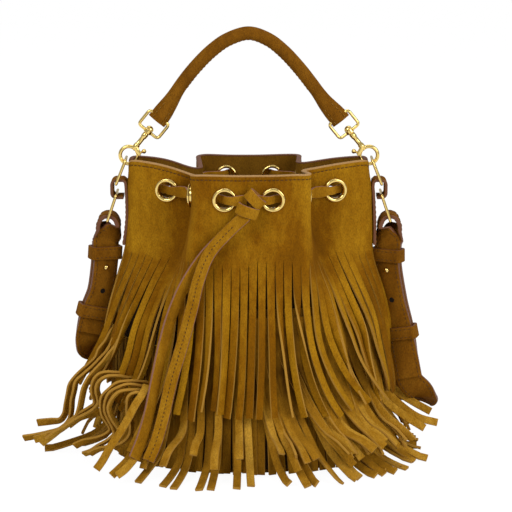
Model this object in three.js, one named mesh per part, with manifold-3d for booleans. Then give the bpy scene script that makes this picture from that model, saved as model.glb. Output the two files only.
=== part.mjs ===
// A drawstring bucket bag in suede, with two tiers of fringe, a gathered mouth, a rolled
// handle on swivel hooks and a shoulder strap on side rings. Millimetres, +Z up.
// The bag stands on z = 0 with the middle of its base at the origin, and its front faces -Y.
import * as THREE from "three";
import { mergeVertices } from "three/addons/utils/BufferGeometryUtils.js";
import Module from "manifold-3d";

const wasm = await Module();
wasm.setup();

// Clearances
const CLEARANCE = 0.3; // between pieces that touch on the real bag
const PLY_GAP = 0.4; // between sewn layers

// Body and base
const RIM_HEIGHT = 222; // base to rim at the middle of the front
const BASE_HALF_WIDTH = 93;
const BASE_HALF_DEPTH = 64;
const BASE_THICKNESS = 3;
const LINING = 1.4; // inner wall
const SUEDE = 1.6; // outer skin and fringe
const GATHER_FOOT = 95; // height where the pleats have run out

// Plan of the gathered mouth, right half
const FRONT_FACE_Y = -52;
const FRONT_FOLD_X = 47;
const FRONT_VALLEY = [41, -19];
const SIDE_X = 86.5;
const SIDE_FRONT_Y = -8;
const SIDE_BACK_Y = 8;
const BACK_VALLEY = [36, 15];
const BACK_FOLD_X = 39;
const BACK_FACE_Y = 46;
const FOLD_ROUNDING = 6; // length of each fold's rounding along its walls
const SIDE_ROUNDING = 4;

// Rim line
const CORNER_RISE = 2.5;
const VALLEY_DIP = 4;
const SIDE_NOTCH = 8; // dip of the rim at each side seam, under the hook
const BACK_DIP = 5;

// Fringe
const STRIPS_PER_PANEL = 40;
const SLIT = 0.5; // width of the cut between strips
const SLIT_TOP = 158; // height where the upper slits start
const UPPER_TIP = 46;
const LOWER_BAND_TOP = 105;
const LOWER_SLIT_TOP = 95;
const UPPER_FLARE = 11.5;
const REACH_FRONT = 37; // how far the lower strips lie out on the ground
const REACH_LEFT = 70;
const REACH_RIGHT = 46;
const REACH_BACK = 40;
const GROUND_GAP = 0.4; // under the strips that lie on the ground
// Side view of the lower strips, as offset from the wall and share of the slits' height
const LOWER_UNDER = [[2.6, 0.74], [4.4, 0.47], [11, 0.23]];
const LOWER_OVER = [[3, 0.74], [6, 0.48], [13, 0.32]];
const LOWER_OVER_END = 15; // height of the tips of the strips on top

// Eyelets and drawstring
const EYELET_DROP = 19; // of the eyelets' middles below the rim
const GATHER_DROP = 8; // the pleats are fully formed this far below the eyelets' middles
const EYELET_PAIR = 35; // spacing of the middle pair, front and back
const EYELET_WING_X = 64;
const EYELET_HOLE = 6; // radius
const EYELET_BARREL = 6.8;
const EYELET_FLANGE = 9;
const EYELET_FLANGE_THICKNESS = 1.4;
const LACE_WIDTH = 9;
const LACE_IN_EYELET = 7; // the lace crumples a little where it passes an eyelet
const LACE_THICKNESS = 2.2;
const KNOT_HALF = [6, 4.5, 8.5];
const eyeletHeight = RIM_HEIGHT - EYELET_DROP;
const gatherTop = eyeletHeight - GATHER_DROP;

// Side tabs and rings
const TAB_WIDTH = 16;
const TAB_THICKNESS = 2.2;
const TAB_FOOT = 160;
const TAB_LOOP_X = 98.3;
const TAB_LOOP_DROP = 14.5; // of the top of the tab's loop below the rim
const TAB_LOOP_LENGTH = 10.7;
const RING_WIRE = 1.2; // radius
const RING_PLAY = 0.5; // between a ring's sides and what it holds
const RING_CORNER = 1.8;
const LOWER_RING_X = 105;
const LOWER_RING_DROP = 18.3; // of the lower ring's foot below the tab's loop
const tabLoopTop = RIM_HEIGHT - TAB_LOOP_DROP;
const tabLoopFoot = tabLoopTop - TAB_LOOP_LENGTH;
const lowerRingFoot = [LOWER_RING_X, tabLoopFoot - LOWER_RING_DROP];

// Swivel hooks
const HOOK_LEAN = THREE.MathUtils.degToRad(51); // of the hooks below the horizontal
const BOW_X = 89;
const BOW_RISE = 4.5; // of the bow's centre above the rim
const bowCentre = [BOW_X, RIM_HEIGHT + BOW_RISE];
const BOW_RADIUS = 6.5;
const BOW_WIRE = 1.4; // radius
const BOW_SWEEP = 262; // degrees of the ring that the bow closes
const SHANK_LENGTH = 14.5;
const SHANK_RADIUS = 2.3;
const NECK_RADIUS = 1.4;
const HEAD_RADIUS = 3;
const GATE_WIRE = 1.1; // radius
const GATE_ARC_END = 320; // degrees round the bow at which the gate turns in to its pin
const GATE_GAP = 0.9; // from the bow's end to the gate's end
const GATE_PIVOT = [5.6, 4.7]; // along the shank and towards the bag, from the bow's centre
const GATE_KNUCKLE = 2;
const GATE_PIN = 0.7; // radius
const EYE_WIDTH = 18;
const EYE_LENGTH = 13.6;
const EYE_WIRE = 1.2; // radius
const EYE_CORNER = 2.2;
const BOSS_RADIUS = 3.2;
const BOSS_LENGTH = 3.2;

// Handle
const HANDLE_RADIUS = 5;
const HANDLE_END_THICKNESS = 6;
const HANDLE_END_LENGTH = 30; // length over which the roll flattens
const HANDLE_END_LAP = 3.6; // past the bar that it folds around
// Right half of the handle's middle line, as x and height above the rim
const HANDLE_LINE = [
  [0, 98],
  [15.5, 93],
  [27, 84.5],
  [39.4, 71.5],
  [50, 57.5],
  [58.4, 43.8],
];

// Shoulder strap, keepers and studs
const STRAP_WIDTH = 20;
const STRAP_THICKNESS = 3;
const STRAP_PLY_GAP = 0.8;
const STRAP_LOOP_HALF = 7.2; // half the width of the loop under each ring
const KEEPER_HEIGHT = 10;
const KEEPER_THICKNESS = 2;
const STUD_HEAD = 3.6;
const STUD_NECK = 1.5;
const STUD_HEAD_THICKNESS = 2;
const STRAP_HOLE = 1.9;
// Stops of the strap on each side, as x and share of the lower ring's height
const STRAP_STOPS = ["end", "lowerKeeper", "hole", "stud", "upperKeeper", "loopFoot"];
const STRAP_LINES = [
  [-1, [[-121, 0.493], [-117.2, 0.602], [-111.5, 0.695], [-108.8, 0.796], [-107.8, 0.857], [-107.4, 0.91]]],
  [1, [[123, 0.297], [116.2, 0.51], [111, 0.655], [107, 0.784], [106.2, 0.846], [105.8, 0.899]]],
];
// Run of the strap behind the bag, from the left side to the right: place, then outer face
const STRAP_BACK_RUN = [
  [[-122, 4, 0.448], [-0.5, 0.75, 0.35]],
  [[-120, 18, 0.415], [-0.9, 0.3, 0.3]],
  [[-118, 44, 0.381], [-1, 0.15, 0]],
  [[-105, 88, 0.269], [-0.8, 0.6, 0]],
  [[-66, 122, 0.168], [-0.45, 0.9, 0]],
  [[-12, 135, 0.101], [-0.05, 1, 0]],
  [[44, 131, 0.084], [0.3, 0.95, 0]],
  [[94, 106, 0.106], [0.7, 0.7, 0]],
  [[124, 66, 0.157], [0.95, 0.3, 0]],
  [[134, 34, 0.202], [1, 0.1, 0]],
  [[134, 14, 0.235], [0.8, 0.5, 0.2]],
  [[129.5, 4, 0.269], [0.4, 0.9, 0.1]],
];
const strapLines = STRAP_LINES.map(([side, line]) => [
  side,
  line.map(([x, share]) => [x, share * lowerRingFoot[1]]),
]);
const strapBackRun = STRAP_BACK_RUN.map(([[x, y, share], face]) => [
  [x, y, share * lowerRingFoot[1]],
  face,
]);

// Drawstring tails: routes from the knot over the fringe, as x, y and share of the eyelets' height
const TAIL_LEFT = [
  [-2, -58.9, 0.949],
  [-15, -58.9, 0.887],
  [-32, -60.2, 0.803],
  [-46, -62.8, 0.7],
  [-55, -65.2, 0.601],
  [-62, -67.4, 0.483],
  [-68, -71, 0.345],
  [-73, -75, 0.23],
  [-78, -80, 0.15],
  [-83, -86, 0.093],
];
const TAIL_RIGHT = [
  [-2, -62.6, 0.952],
  [-14, -63, 0.897],
  [-28, -64.4, 0.818],
  [-36, -68.2, 0.724],
  [-41, -70, 0.621],
  [-48, -70.6, 0.493],
  [-56, -73.5, 0.36],
  [-62, -77, 0.233],
  [-67, -81.5, 0.148],
  [-72.5, -87, 0.086],
];
const TAIL_FACE = [-0.25, -1, 0.25];

const suede = new THREE.MeshStandardMaterial({ color: 0x96690f, roughness: 0.95 });
const fringeSuede = new THREE.MeshStandardMaterial({ color: 0x9a6c12, roughness: 0.95 });
const lining = new THREE.MeshStandardMaterial({ color: 0x6b4413, roughness: 0.95 });
const strapSuede = new THREE.MeshStandardMaterial({ color: 0x7a4c10, roughness: 0.85 });
const brass = new THREE.MeshStandardMaterial({ color: 0xd8b04a, roughness: 0.2, metalness: 1 });

const bag = new THREE.Group();

/** Adds a named piece to the bag. */
function piece(name, geometry, material) {
  const mesh = new THREE.Mesh(geometry, material);
  mesh.name = name;
  bag.add(mesh);
  return mesh;
}

const vec = (point) => new THREE.Vector3(...point);

/** A closed surface from points and triangles, turned so that its faces point outwards. */
function closedSurface(points, triangles) {
  let volume = 0;
  for (const [a, b, c] of triangles) {
    volume += points[a].dot(new THREE.Vector3().crossVectors(points[b], points[c]));
  }
  const index = triangles.flatMap(([a, b, c]) => (volume < 0 ? [a, c, b] : [a, b, c]));
  const geometry = new THREE.BufferGeometry().setFromPoints(points);
  geometry.setIndex(index);
  geometry.computeVertexNormals();
  return geometry;
}

/** The two triangles of a quad. */
const quad = (a, b, c, d) => [
  [a, b, c],
  [a, c, d],
];

/** A sheet of quads given thickness: each vertex has an outer and an inner point. */
function thickSheet(vertices, cells) {
  const count = vertices.length;
  const points = [...vertices.map((v) => v.outer), ...vertices.map((v) => v.inner)];
  const edges = new Map();
  const triangles = [];
  for (const cell of cells) {
    for (const [a, b, c] of quad(...cell)) {
      triangles.push([a, b, c], [c + count, b + count, a + count]);
    }
    cell.forEach((from, i) => {
      const to = cell[(i + 1) % cell.length];
      if (!edges.delete(`${to} ${from}`)) edges.set(`${from} ${to}`, [from, to]);
    });
  }
  for (const [from, to] of edges.values()) {
    triangles.push(...quad(to, from, from + count, to + count));
  }
  return closedSurface(points, triangles);
}

/** A solid through a row of sections, each a ring of points; a loop joins the last to the first. */
function loft(sections, loop = false) {
  const sides = sections[0].length;
  const points = sections.flat();
  const triangles = [];
  const last = loop ? sections.length : sections.length - 1;
  for (let i = 0; i < last; i++) {
    const here = i * sides;
    const there = ((i + 1) % sections.length) * sides;
    for (let j = 0; j < sides; j++) {
      const k = (j + 1) % sides;
      triangles.push(...quad(here + j, here + k, there + k, there + j));
    }
  }
  if (!loop) {
    const end = points.length - sides;
    for (let j = 1; j < sides - 1; j++) {
      triangles.push([0, j + 1, j], [end, end + j, end + j + 1]);
    }
  }
  return closedSurface(points, triangles);
}

/** A ring of points round a centre, in the plane of two axes. */
function ovalSection(centre, across, up, sides) {
  return Array.from({ length: sides }, (_, j) => {
    const angle = ((j + 0.5) / sides) * 2 * Math.PI;
    return centre
      .clone()
      .addScaledVector(across, Math.cos(angle))
      .addScaledVector(up, Math.sin(angle));
  });
}

/** A round wire along a flat path; normal is square to the path's plane. */
function wire(path, radius, normal, { sides = 6, loop = false } = {}) {
  const sections = path.map((point, i) => {
    const before = path[loop ? (i + path.length - 1) % path.length : Math.max(i - 1, 0)];
    const after = path[loop ? (i + 1) % path.length : Math.min(i + 1, path.length - 1)];
    const along = after.clone().sub(before).normalize();
    const across = new THREE.Vector3().crossVectors(along, normal);
    return ovalSection(
      point,
      across.multiplyScalar(radius),
      normal.clone().multiplyScalar(radius),
      sides,
    );
  });
  return loft(sections, loop);
}

/** A flat strip along control points; faces gives the way its outer face looks at each point. */
function ribbon(places, faces, steps, widthAt, thickness) {
  const line = new THREE.CatmullRomCurve3(places, false, "centripetal");
  const looks = new THREE.CatmullRomCurve3(faces, false, "catmullrom", 0);
  const sections = [];
  for (let i = 0; i <= steps; i++) {
    const share = i / steps;
    const centre = line.getPoint(share);
    const along = line.getTangent(share);
    const across = new THREE.Vector3().crossVectors(along, looks.getPoint(share)).normalize();
    const out = new THREE.Vector3().crossVectors(across, along).normalize();
    across.multiplyScalar(widthAt(share) / 2);
    out.multiplyScalar(thickness / 2);
    const corner = (a, o) => centre.clone().addScaledVector(across, a).addScaledVector(out, o);
    sections.push([corner(-1, -1), corner(1, -1), corner(1, 1), corner(-1, 1)]);
  }
  return loft(sections);
}

/** A round solid turned about an axis from a profile of [radius, distance along the axis]. */
function turned(profile, origin, axis, segments) {
  const points = profile.map(([radius, along]) => new THREE.Vector2(radius, along));
  const geometry = new THREE.LatheGeometry(points, segments);
  const turn = new THREE.Quaternion().setFromUnitVectors(new THREE.Vector3(0, 1, 0), axis);
  geometry.applyQuaternion(turn).translate(origin.x, origin.y, origin.z);
  return geometry;
}

/** A plain cylinder between two points. */
function rod(from, to, radius, segments = 10) {
  const axis = to.clone().sub(from);
  const length = axis.length();
  const profile = [
    [0, 0],
    [radius, 0],
    [radius, length],
    [0, length],
  ];
  return turned(profile, from, axis.normalize(), segments);
}

/** A geometry as a manifold solid. */
function solid(geometry) {
  const bare = geometry.clone();
  bare.deleteAttribute("normal");
  bare.deleteAttribute("uv");
  const merged = mergeVertices(bare, 1e-4);
  const made = new wasm.Manifold(
    new wasm.Mesh({
      numProp: 3,
      vertProperties: merged.attributes.position.array,
      triVerts: new Uint32Array(merged.index.array),
    }),
  );
  if (made.volume() >= 0) return made;
  const triVerts = new Uint32Array(merged.index.array).reverse();
  const vertProperties = merged.attributes.position.array;
  return new wasm.Manifold(new wasm.Mesh({ numProp: 3, vertProperties, triVerts }));
}

/** The geometry of a manifold solid. */
function geometryOf(made) {
  const { vertProperties, triVerts } = made.getMesh();
  const geometry = new THREE.BufferGeometry();
  geometry.setAttribute("position", new THREE.BufferAttribute(new Float32Array(vertProperties), 3));
  geometry.setIndex(new THREE.BufferAttribute(new Uint32Array(triVerts), 1));
  geometry.computeVertexNormals();
  return geometry;
}

const join = (...parts) => geometryOf(parts.map(solid).reduce((all, part) => all.add(part)));
const cut = (body, tools) =>
  geometryOf(tools.map(solid).reduce((left, tool) => left.subtract(tool), solid(body)));

// Body surface: the base's oval blends upwards into the pleated mouth.
// A place on it is a share t of the way round, from the middle of the front towards +X,
// a height z, and an offset outwards from the seam between lining and skin.

/** A path through plan points, with each inner point rounded. */
function roundedPath(stops) {
  const path = new THREE.Path();
  path.moveTo(...stops[0].at);
  for (let i = 1; i < stops.length - 1; i++) {
    const here = new THREE.Vector2(...stops[i].at);
    const towards = (j) =>
      new THREE.Vector2(...stops[j].at).sub(here).setLength(stops[i].rounding).add(here);
    const start = towards(i - 1);
    const end = towards(i + 1);
    path.lineTo(start.x, start.y);
    path.quadraticCurveTo(here.x, here.y, end.x, end.y);
  }
  path.lineTo(...stops[stops.length - 1].at);
  return path;
}

const mouth = roundedPath([
  { at: [0, FRONT_FACE_Y] },
  { at: [FRONT_FOLD_X, FRONT_FACE_Y], rounding: FOLD_ROUNDING },
  { at: FRONT_VALLEY, rounding: FOLD_ROUNDING },
  { at: [SIDE_X, SIDE_FRONT_Y], rounding: SIDE_ROUNDING },
  { at: [SIDE_X, SIDE_BACK_Y], rounding: SIDE_ROUNDING },
  { at: BACK_VALLEY, rounding: FOLD_ROUNDING },
  { at: [BACK_FOLD_X, BACK_FACE_Y], rounding: FOLD_ROUNDING },
  { at: [0, BACK_FACE_Y] },
]);
const base = new THREE.EllipseCurve(
  0,
  0,
  BASE_HALF_WIDTH,
  BASE_HALF_DEPTH,
  -Math.PI / 2,
  Math.PI / 2,
);

/** The share of the mouth's half path that lies nearest to a plan point. */
function mouthShareNear(x, y) {
  const target = new THREE.Vector2(x, y);
  const tries = 2000;
  let best = 0;
  let nearest = Infinity;
  for (let i = 0; i <= tries; i++) {
    const distance = mouth.getPoint(i / tries).distanceTo(target);
    if (distance < nearest) {
      nearest = distance;
      best = i / tries;
    }
  }
  return best;
}

const sideShare = mouthShareNear(SIDE_X, (SIDE_FRONT_Y + SIDE_BACK_Y) / 2);

/** The share t of the way round the bag for a plan point of the mouth's right half. */
function roundShare(x, y) {
  const share = mouthShareNear(x, y);
  return share <= sideShare
    ? (0.25 * share) / sideShare
    : 0.25 + (0.25 * (share - sideShare)) / (1 - sideShare);
}

/** A plan point of the body, between its base oval (gather 0) and its mouth (gather 1). */
function planPoint(t, gather) {
  const round = t - Math.floor(t);
  const half = round <= 0.5 ? round : 1 - round;
  const share =
    half <= 0.25
      ? (half / 0.25) * sideShare
      : sideShare + ((half - 0.25) / 0.25) * (1 - sideShare);
  const point = base.getPointAt(half / 0.5).lerp(mouth.getPoint(share), gather);
  if (round > 0.5) point.x = -point.x;
  return point;
}

const gatherAt = (z) => THREE.MathUtils.smoothstep(z, GATHER_FOOT, gatherTop);
const COLUMN = 0.5 / STRIPS_PER_PANEL; // share of the way round taken by one strip

/** The outward direction of the body at a place, level with the ground. */
function wallNormal(t, z) {
  const gather = gatherAt(z);
  const along = planPoint(t + COLUMN / 2, gather).sub(planPoint(t - COLUMN / 2, gather));
  return new THREE.Vector3(along.y, -along.x, 0).normalize();
}

/** A point of the body. */
function wallPoint(t, z, offset) {
  const plan = planPoint(t, gatherAt(z));
  return new THREE.Vector3(plan.x, plan.y, z).addScaledVector(wallNormal(t, z), offset);
}

const roundBag = Array.from({ length: 400 }, (_, i) => planPoint(i / 400, 0));
const GIRTH = roundBag.reduce((sum, p, i) => sum + p.distanceTo(roundBag[(i + 1) % 400]), 0);

/** A smooth hump of height 1 at a centre. */
const hump = (x, centre, width) => Math.exp(-(((x - centre) / width) ** 2));

const frontValleyAt = roundShare(...FRONT_VALLEY);
const backValleyAt = roundShare(...BACK_VALLEY);

/** Height of the rim at a share t of the way round. */
function rimHeight(t) {
  const round = t - Math.floor(t);
  const half = round <= 0.5 ? round : 1 - round;
  return (
    RIM_HEIGHT +
    CORNER_RISE * hump(half, 0.25, 0.06) -
    VALLEY_DIP * hump(half, frontValleyAt, 0.04) -
    VALLEY_DIP * hump(half, backValleyAt, 0.04) -
    SIDE_NOTCH * hump(half, 0.25, 0.009) -
    BACK_DIP * hump(half, 0.5, 0.12)
  );
}

/** A repeatable number from -1 to 1 for each whole number. */
function vary(k) {
  const spread = Math.sin(k * 12.9898 + 4.1) * 43758.5453;
  return 2 * (spread - Math.floor(spread)) - 1;
}

// Lining, base and outer panels
const liningFace = -PLY_GAP / 2;
const skinFace = PLY_GAP / 2;

const bodyRows = [gatherTop, SLIT_TOP, GATHER_FOOT, BASE_THICKNESS + CLEARANCE];
const bodyColumns = 2 * STRIPS_PER_PANEL;

/** The inner wall, a tube open at the mouth. */
function liningTube() {
  const vertices = [];
  const cells = [];
  const rows = bodyRows.length + 1;
  for (let i = 0; i < bodyColumns; i++) {
    const t = i * COLUMN;
    for (const z of [rimHeight(t), ...bodyRows]) {
      vertices.push({
        outer: wallPoint(t, z, liningFace),
        inner: wallPoint(t, z, liningFace - LINING),
      });
    }
    const next = (i + 1) % bodyColumns;
    for (let j = 0; j < rows - 1; j++) {
      cells.push([i * rows + j, i * rows + j + 1, next * rows + j + 1, next * rows + j]);
    }
  }
  return thickSheet(vertices, cells);
}

/** The stiff base. */
function basePanel() {
  const corners = bodyColumns / 2;
  const level = (z) =>
    Array.from({ length: corners }, (_, i) => wallPoint(i / corners, z, liningFace));
  return loft([level(0), level(BASE_THICKNESS)]);
}

/** A sheet whose lower part is cut into strips. */
function fringedSheet({ from, to, rows, strip }) {
  const vertices = [];
  const cells = [];
  const seam = CLEARANCE / 2 / GIRTH;
  const columns = Math.round((to - from) / COLUMN);
  const place = (i) =>
    i === 0 ? from + seam : i === columns ? to - seam : from + i * COLUMN;
  const depth = rows(from).length;
  for (let i = 0; i <= columns; i++) {
    for (const { z, middle } of rows(place(i))) {
      vertices.push({
        outer: wallPoint(place(i), z, middle + SUEDE / 2),
        inner: wallPoint(place(i), z, middle - SUEDE / 2),
      });
    }
    for (let j = 0; i > 0 && j < depth - 1; j++) {
      const a = (i - 1) * depth + j;
      cells.push([a, a + 1, a + depth + 1, a + depth]);
    }
  }
  const inset = SLIT / 2 / GIRTH;
  for (let k = 0; k < columns; k++) {
    const edges = [place(k) + inset, place(k + 1) - inset];
    let above = [k * depth + depth - 1, (k + 1) * depth + depth - 1];
    for (const { z, middle, outZ, outMiddle, shift } of strip(k, (edges[0] + edges[1]) / 2)) {
      const below = edges.map((t) => {
        vertices.push({
          outer: wallPoint(t + shift, z + outZ, middle + outMiddle),
          inner: wallPoint(t + shift, z - outZ, middle - outMiddle),
        });
        return vertices.length - 1;
      });
      cells.push([above[0], below[0], below[1], above[1]]);
      above = below;
    }
  }
  return thickSheet(vertices, cells);
}

/** Steps down one strip along a profile of offset and height, from its slit to its tip. */
function stripSteps(profile, steps, shiftAt) {
  const line = new THREE.SplineCurve(profile.map((stop) => new THREE.Vector2(...stop)));
  return Array.from({ length: steps }, (_, i) => {
    const share = (i + 1) / steps;
    const { x: middle, y: z } = line.getPoint(share);
    const along = line.getTangent(share);
    return {
      z,
      middle,
      outZ: (along.x * SUEDE) / 2,
      outMiddle: (-along.y * SUEDE) / 2,
      shift: shiftAt(share),
    };
  });
}

const skinMiddle = skinFace + SUEDE / 2;
const UPPER_STEPS = 3;
const LOWER_STEPS = 5;
const UPPER_SWAY = 2.5; // sideways drift of the upper tips
const LOWER_SWAY = 6;

/** The outer skin of one half, with the upper fringe cut into its lower edge. */
function outerPanel(from, to) {
  return fringedSheet({
    from,
    to,
    rows: (t) =>
      [rimHeight(t), ...bodyRows.slice(0, 2)].map((z) => ({ z, middle: skinMiddle })),
    strip: (k, t) => {
      const tip = UPPER_TIP + 4 * vary(k + 100 * from);
      const flare = UPPER_FLARE + 0.8 * vary(k + 31);
      const profile = [
        [skinMiddle, SLIT_TOP],
        [skinMiddle + 0.2 * flare, SLIT_TOP - 26],
        [0.6 * flare, GATHER_FOOT],
        [flare, tip],
      ];
      const sway = (UPPER_SWAY / GIRTH) * Math.sin(6 * Math.PI * t);
      return stripSteps(profile, UPPER_STEPS, (share) => sway * share * share);
    },
  });
}

/** How far the lower strips lie out at a share t of the way round. */
function reachAt(t) {
  const angle = 2 * Math.PI * t;
  const side = Math.sin(angle) > 0 ? REACH_RIGHT : REACH_LEFT;
  const end = Math.cos(angle) > 0 ? REACH_FRONT : REACH_BACK;
  return side * Math.sin(angle) ** 2 + end * Math.cos(angle) ** 2;
}

/** The lower fringe of one half, sewn on under the upper one; every other strip lies on top. */
function lowerFringe(from, to) {
  const lie = GROUND_GAP + SUEDE / 2;
  return fringedSheet({
    from,
    to,
    rows: () => [LOWER_BAND_TOP, LOWER_SLIT_TOP].map((z) => ({ z, middle: skinMiddle + CLEARANCE })),
    strip: (k, t) => {
      const start = [skinMiddle + CLEARANCE, LOWER_SLIT_TOP];
      const reach = reachAt(t) + 5 * vary(k + 7);
      const onTop = k % 2 === 1;
      const tip = LOWER_OVER_END + 3 * vary(k);
      const down = (stops) => stops.map(([offset, share]) => [offset, share * LOWER_SLIT_TOP]);
      const profile = onTop
        ? [start, ...down(LOWER_OVER), [0.36 * reach, 0.21 * LOWER_SLIT_TOP], [0.55 * reach, tip]]
        : [start, ...down(LOWER_UNDER), [0.4 * reach, 0.085 * LOWER_SLIT_TOP], [reach, lie]];
      const sway = (LOWER_SWAY / GIRTH) * Math.sin(8 * Math.PI * t + 1);
      return stripSteps(profile, LOWER_STEPS, (share) => sway * share * share);
    },
  });
}

// Eyelets: a pair on the front face, one in each pleat wall, one on each wing, and the same behind
const midway = (a, b) => a.map((value, i) => (value + b[i]) / 2);
const onWing = (valley, corner, x) => {
  const share = (x - valley[0]) / (corner[0] - valley[0]);
  return [x, valley[1] + share * (corner[1] - valley[1])];
};
const rightEyelets = [
  [EYELET_PAIR / 2, FRONT_FACE_Y],
  midway([FRONT_FOLD_X, FRONT_FACE_Y], FRONT_VALLEY),
  onWing(FRONT_VALLEY, [SIDE_X, SIDE_FRONT_Y], EYELET_WING_X),
  onWing(BACK_VALLEY, [SIDE_X, SIDE_BACK_Y], EYELET_WING_X),
  midway([BACK_FOLD_X, BACK_FACE_Y], BACK_VALLEY),
  [EYELET_PAIR / 2, BACK_FACE_Y],
].map((plan) => roundShare(...plan));
const eyelets = [...rightEyelets, ...rightEyelets.map((t) => 1 - t).reverse()];

const outerFace = skinFace + SUEDE;
const innerFace = liningFace - LINING;
const eyeletOut = outerFace + CLEARANCE + EYELET_FLANGE_THICKNESS;
const eyeletIn = innerFace - CLEARANCE - EYELET_FLANGE_THICKNESS / 2;

/** A pressed ring eyelet with a rolled front flange and a flat back washer. */
function eyelet(t) {
  const front = outerFace + CLEARANCE;
  const back = innerFace - CLEARANCE;
  const profile = [
    [EYELET_HOLE, eyeletIn],
    [EYELET_FLANGE - 0.5, eyeletIn],
    [EYELET_FLANGE - 0.5, back],
    [EYELET_BARREL, back],
    [EYELET_BARREL, front],
    [EYELET_FLANGE, front],
    [(EYELET_FLANGE + EYELET_BARREL) / 2, eyeletOut],
    [EYELET_HOLE, front + EYELET_FLANGE_THICKNESS / 2],
    [EYELET_HOLE, eyeletIn],
  ];
  return turned(profile, wallPoint(t, eyeletHeight, 0), wallNormal(t, eyeletHeight), 10);
}

const eyeletHoles = eyelets.map((t) =>
  rod(
    wallPoint(t, eyeletHeight, eyeletIn - 2),
    wallPoint(t, eyeletHeight, eyeletOut + 2),
    EYELET_BARREL + CLEARANCE,
    10,
  ),
);
const frontHoles = eyeletHoles.filter((_, i) => i < 3 || i > 8);
const backHoles = eyeletHoles.filter((_, i) => i > 2 && i < 9);

piece("lining", cut(liningTube(), eyeletHoles), lining);
piece("base_panel", basePanel(), suede);
piece("front_panel", cut(outerPanel(-0.25, 0.25), frontHoles), suede);
piece("back_panel", cut(outerPanel(0.25, 0.75), backHoles), suede);
piece("lower_fringe_front", lowerFringe(-0.25, 0.25), fringeSuede);
piece("lower_fringe_back", lowerFringe(0.25, 0.75), fringeSuede);
eyelets.forEach((t, i) => {
  piece(`eyelet_${String(i + 1).padStart(2, "0")}`, eyelet(t), brass);
});

// Drawstring: in and out of the eyelets, outside across the front and back faces and the wings
const laceOut = eyeletOut + 2.5 * CLEARANCE + LACE_THICKNESS / 2;
const laceIn = eyeletIn - 3 * CLEARANCE - LACE_THICKNESS / 2;
const LACE_SLACK = 3; // how far the lace stands off the wall where it cuts across a fold
const LACE_BEND = 5.6; // distance from an eyelet at which the lace lies along the wall
const knotY = FRONT_FACE_Y - outerFace - CLEARANCE - KNOT_HALF[1];

/** The lace from one side of the knot, round the mouth, to the other side. */
function drawstring() {
  const stops = [];
  const stop = (t, offset) => stops.push({ t, offset });
  const millimetre = 1 / GIRTH;
  const start = (KNOT_HALF[0] + CLEARANCE) * millimetre;
  stop(start, laceOut);
  let outside = true;
  eyelets.forEach((t, i) => {
    const before = outside ? laceOut : laceIn;
    outside = !outside;
    const after = outside ? laceOut : laceIn;
    stop(t - LACE_BEND * millimetre, before);
    stop(t - 1.4 * millimetre, 0.5 * before);
    stop(t + 1.4 * millimetre, 0.5 * after);
    stop(t + LACE_BEND * millimetre, after);
    const next = eyelets[i + 1];
    if (next && i !== 5) stop((t + next) / 2, after + Math.sign(after) * LACE_SLACK);
  });
  stop(1 - start, laceOut);
  const places = stops.map(({ t, offset }) => wallPoint(t, eyeletHeight, offset));
  const up = new THREE.Vector3(0, 0, 1);
  const line = new THREE.CatmullRomCurve3(places, false, "centripetal");
  const steps = 120;
  const holes = eyelets.map((t) => wallPoint(t, eyeletHeight, 0));
  const sections = [];
  for (let i = 0; i <= steps; i++) {
    const centre = line.getPoint(i / steps);
    const out = new THREE.Vector3().crossVectors(line.getTangent(i / steps), up).normalize();
    const apart = Math.min(...holes.map((hole) => hole.distanceTo(centre)));
    const spread = THREE.MathUtils.smoothstep(apart, LACE_BEND / 2, LACE_BEND + 2);
    const width = THREE.MathUtils.lerp(LACE_IN_EYELET, LACE_WIDTH, spread);
    const corner = (a, o) =>
      centre
        .clone()
        .addScaledVector(up, (a * width) / 2)
        .addScaledVector(out, (o * LACE_THICKNESS) / 2);
    sections.push([corner(-1, -1), corner(1, -1), corner(1, 1), corner(-1, 1)]);
  }
  return loft(sections);
}

piece("drawstring", drawstring(), suede);
const knot = new THREE.SphereGeometry(1, 12, 8);
knot.scale(...KNOT_HALF).translate(0, knotY, eyeletHeight - 1);
piece("drawstring_knot", knot, suede);
for (const [name, route] of [
  ["drawstring_tail_left", TAIL_LEFT],
  ["drawstring_tail_right", TAIL_RIGHT],
]) {
  const faces = route.map(() => vec(TAIL_FACE));
  const places = route.map(([x, y, share]) => new THREE.Vector3(x, y, share * eyeletHeight));
  piece(name, ribbon(places, faces, 24, () => LACE_WIDTH, LACE_THICKNESS), suede);
}

// Side hardware. Each side has the same sizes, mirrored by side = -1 or 1.
const levelY = new THREE.Vector3(0, 1, 0);
const hookDown = [Math.cos(HOOK_LEAN), -Math.sin(HOOK_LEAN)];

/** A point on a hook: a up the shank and b towards the bag, from the bow's centre. */
function onHook(side, a, b, y = 0) {
  const x = bowCentre[0] - a * hookDown[0] + b * hookDown[1];
  const z = bowCentre[1] - a * hookDown[1] - b * hookDown[0];
  return new THREE.Vector3(side * x, y, z);
}

/** A closed loop of wire, a rounded rectangle with its middle line through four corners. */
function wireLoop(corners, rounding, radius, sides = 6) {
  const path = [];
  corners.forEach((corner, i) => {
    const towards = (j) => corners[j % 4].clone().sub(corner).setLength(rounding).add(corner);
    const bend = new THREE.QuadraticBezierCurve3(towards(i + 3), corner, towards(i + 1));
    path.push(...bend.getPoints(2));
  });
  const normal = new THREE.Vector3()
    .crossVectors(corners[1].clone().sub(corners[0]), corners[3].clone().sub(corners[0]))
    .normalize();
  return wire(path, radius, normal, { sides, loop: true });
}

/** A ring between an upper and a lower bar, given as x and z. */
function ring(side, upper, lower, halfWidth) {
  const at = ([x, z], y) => new THREE.Vector3(side * x, y, z);
  const corners = [
    at(upper, -halfWidth),
    at(upper, halfWidth),
    at(lower, halfWidth),
    at(lower, -halfWidth),
  ];
  return wireLoop(corners, RING_CORNER, RING_WIRE);
}

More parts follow.
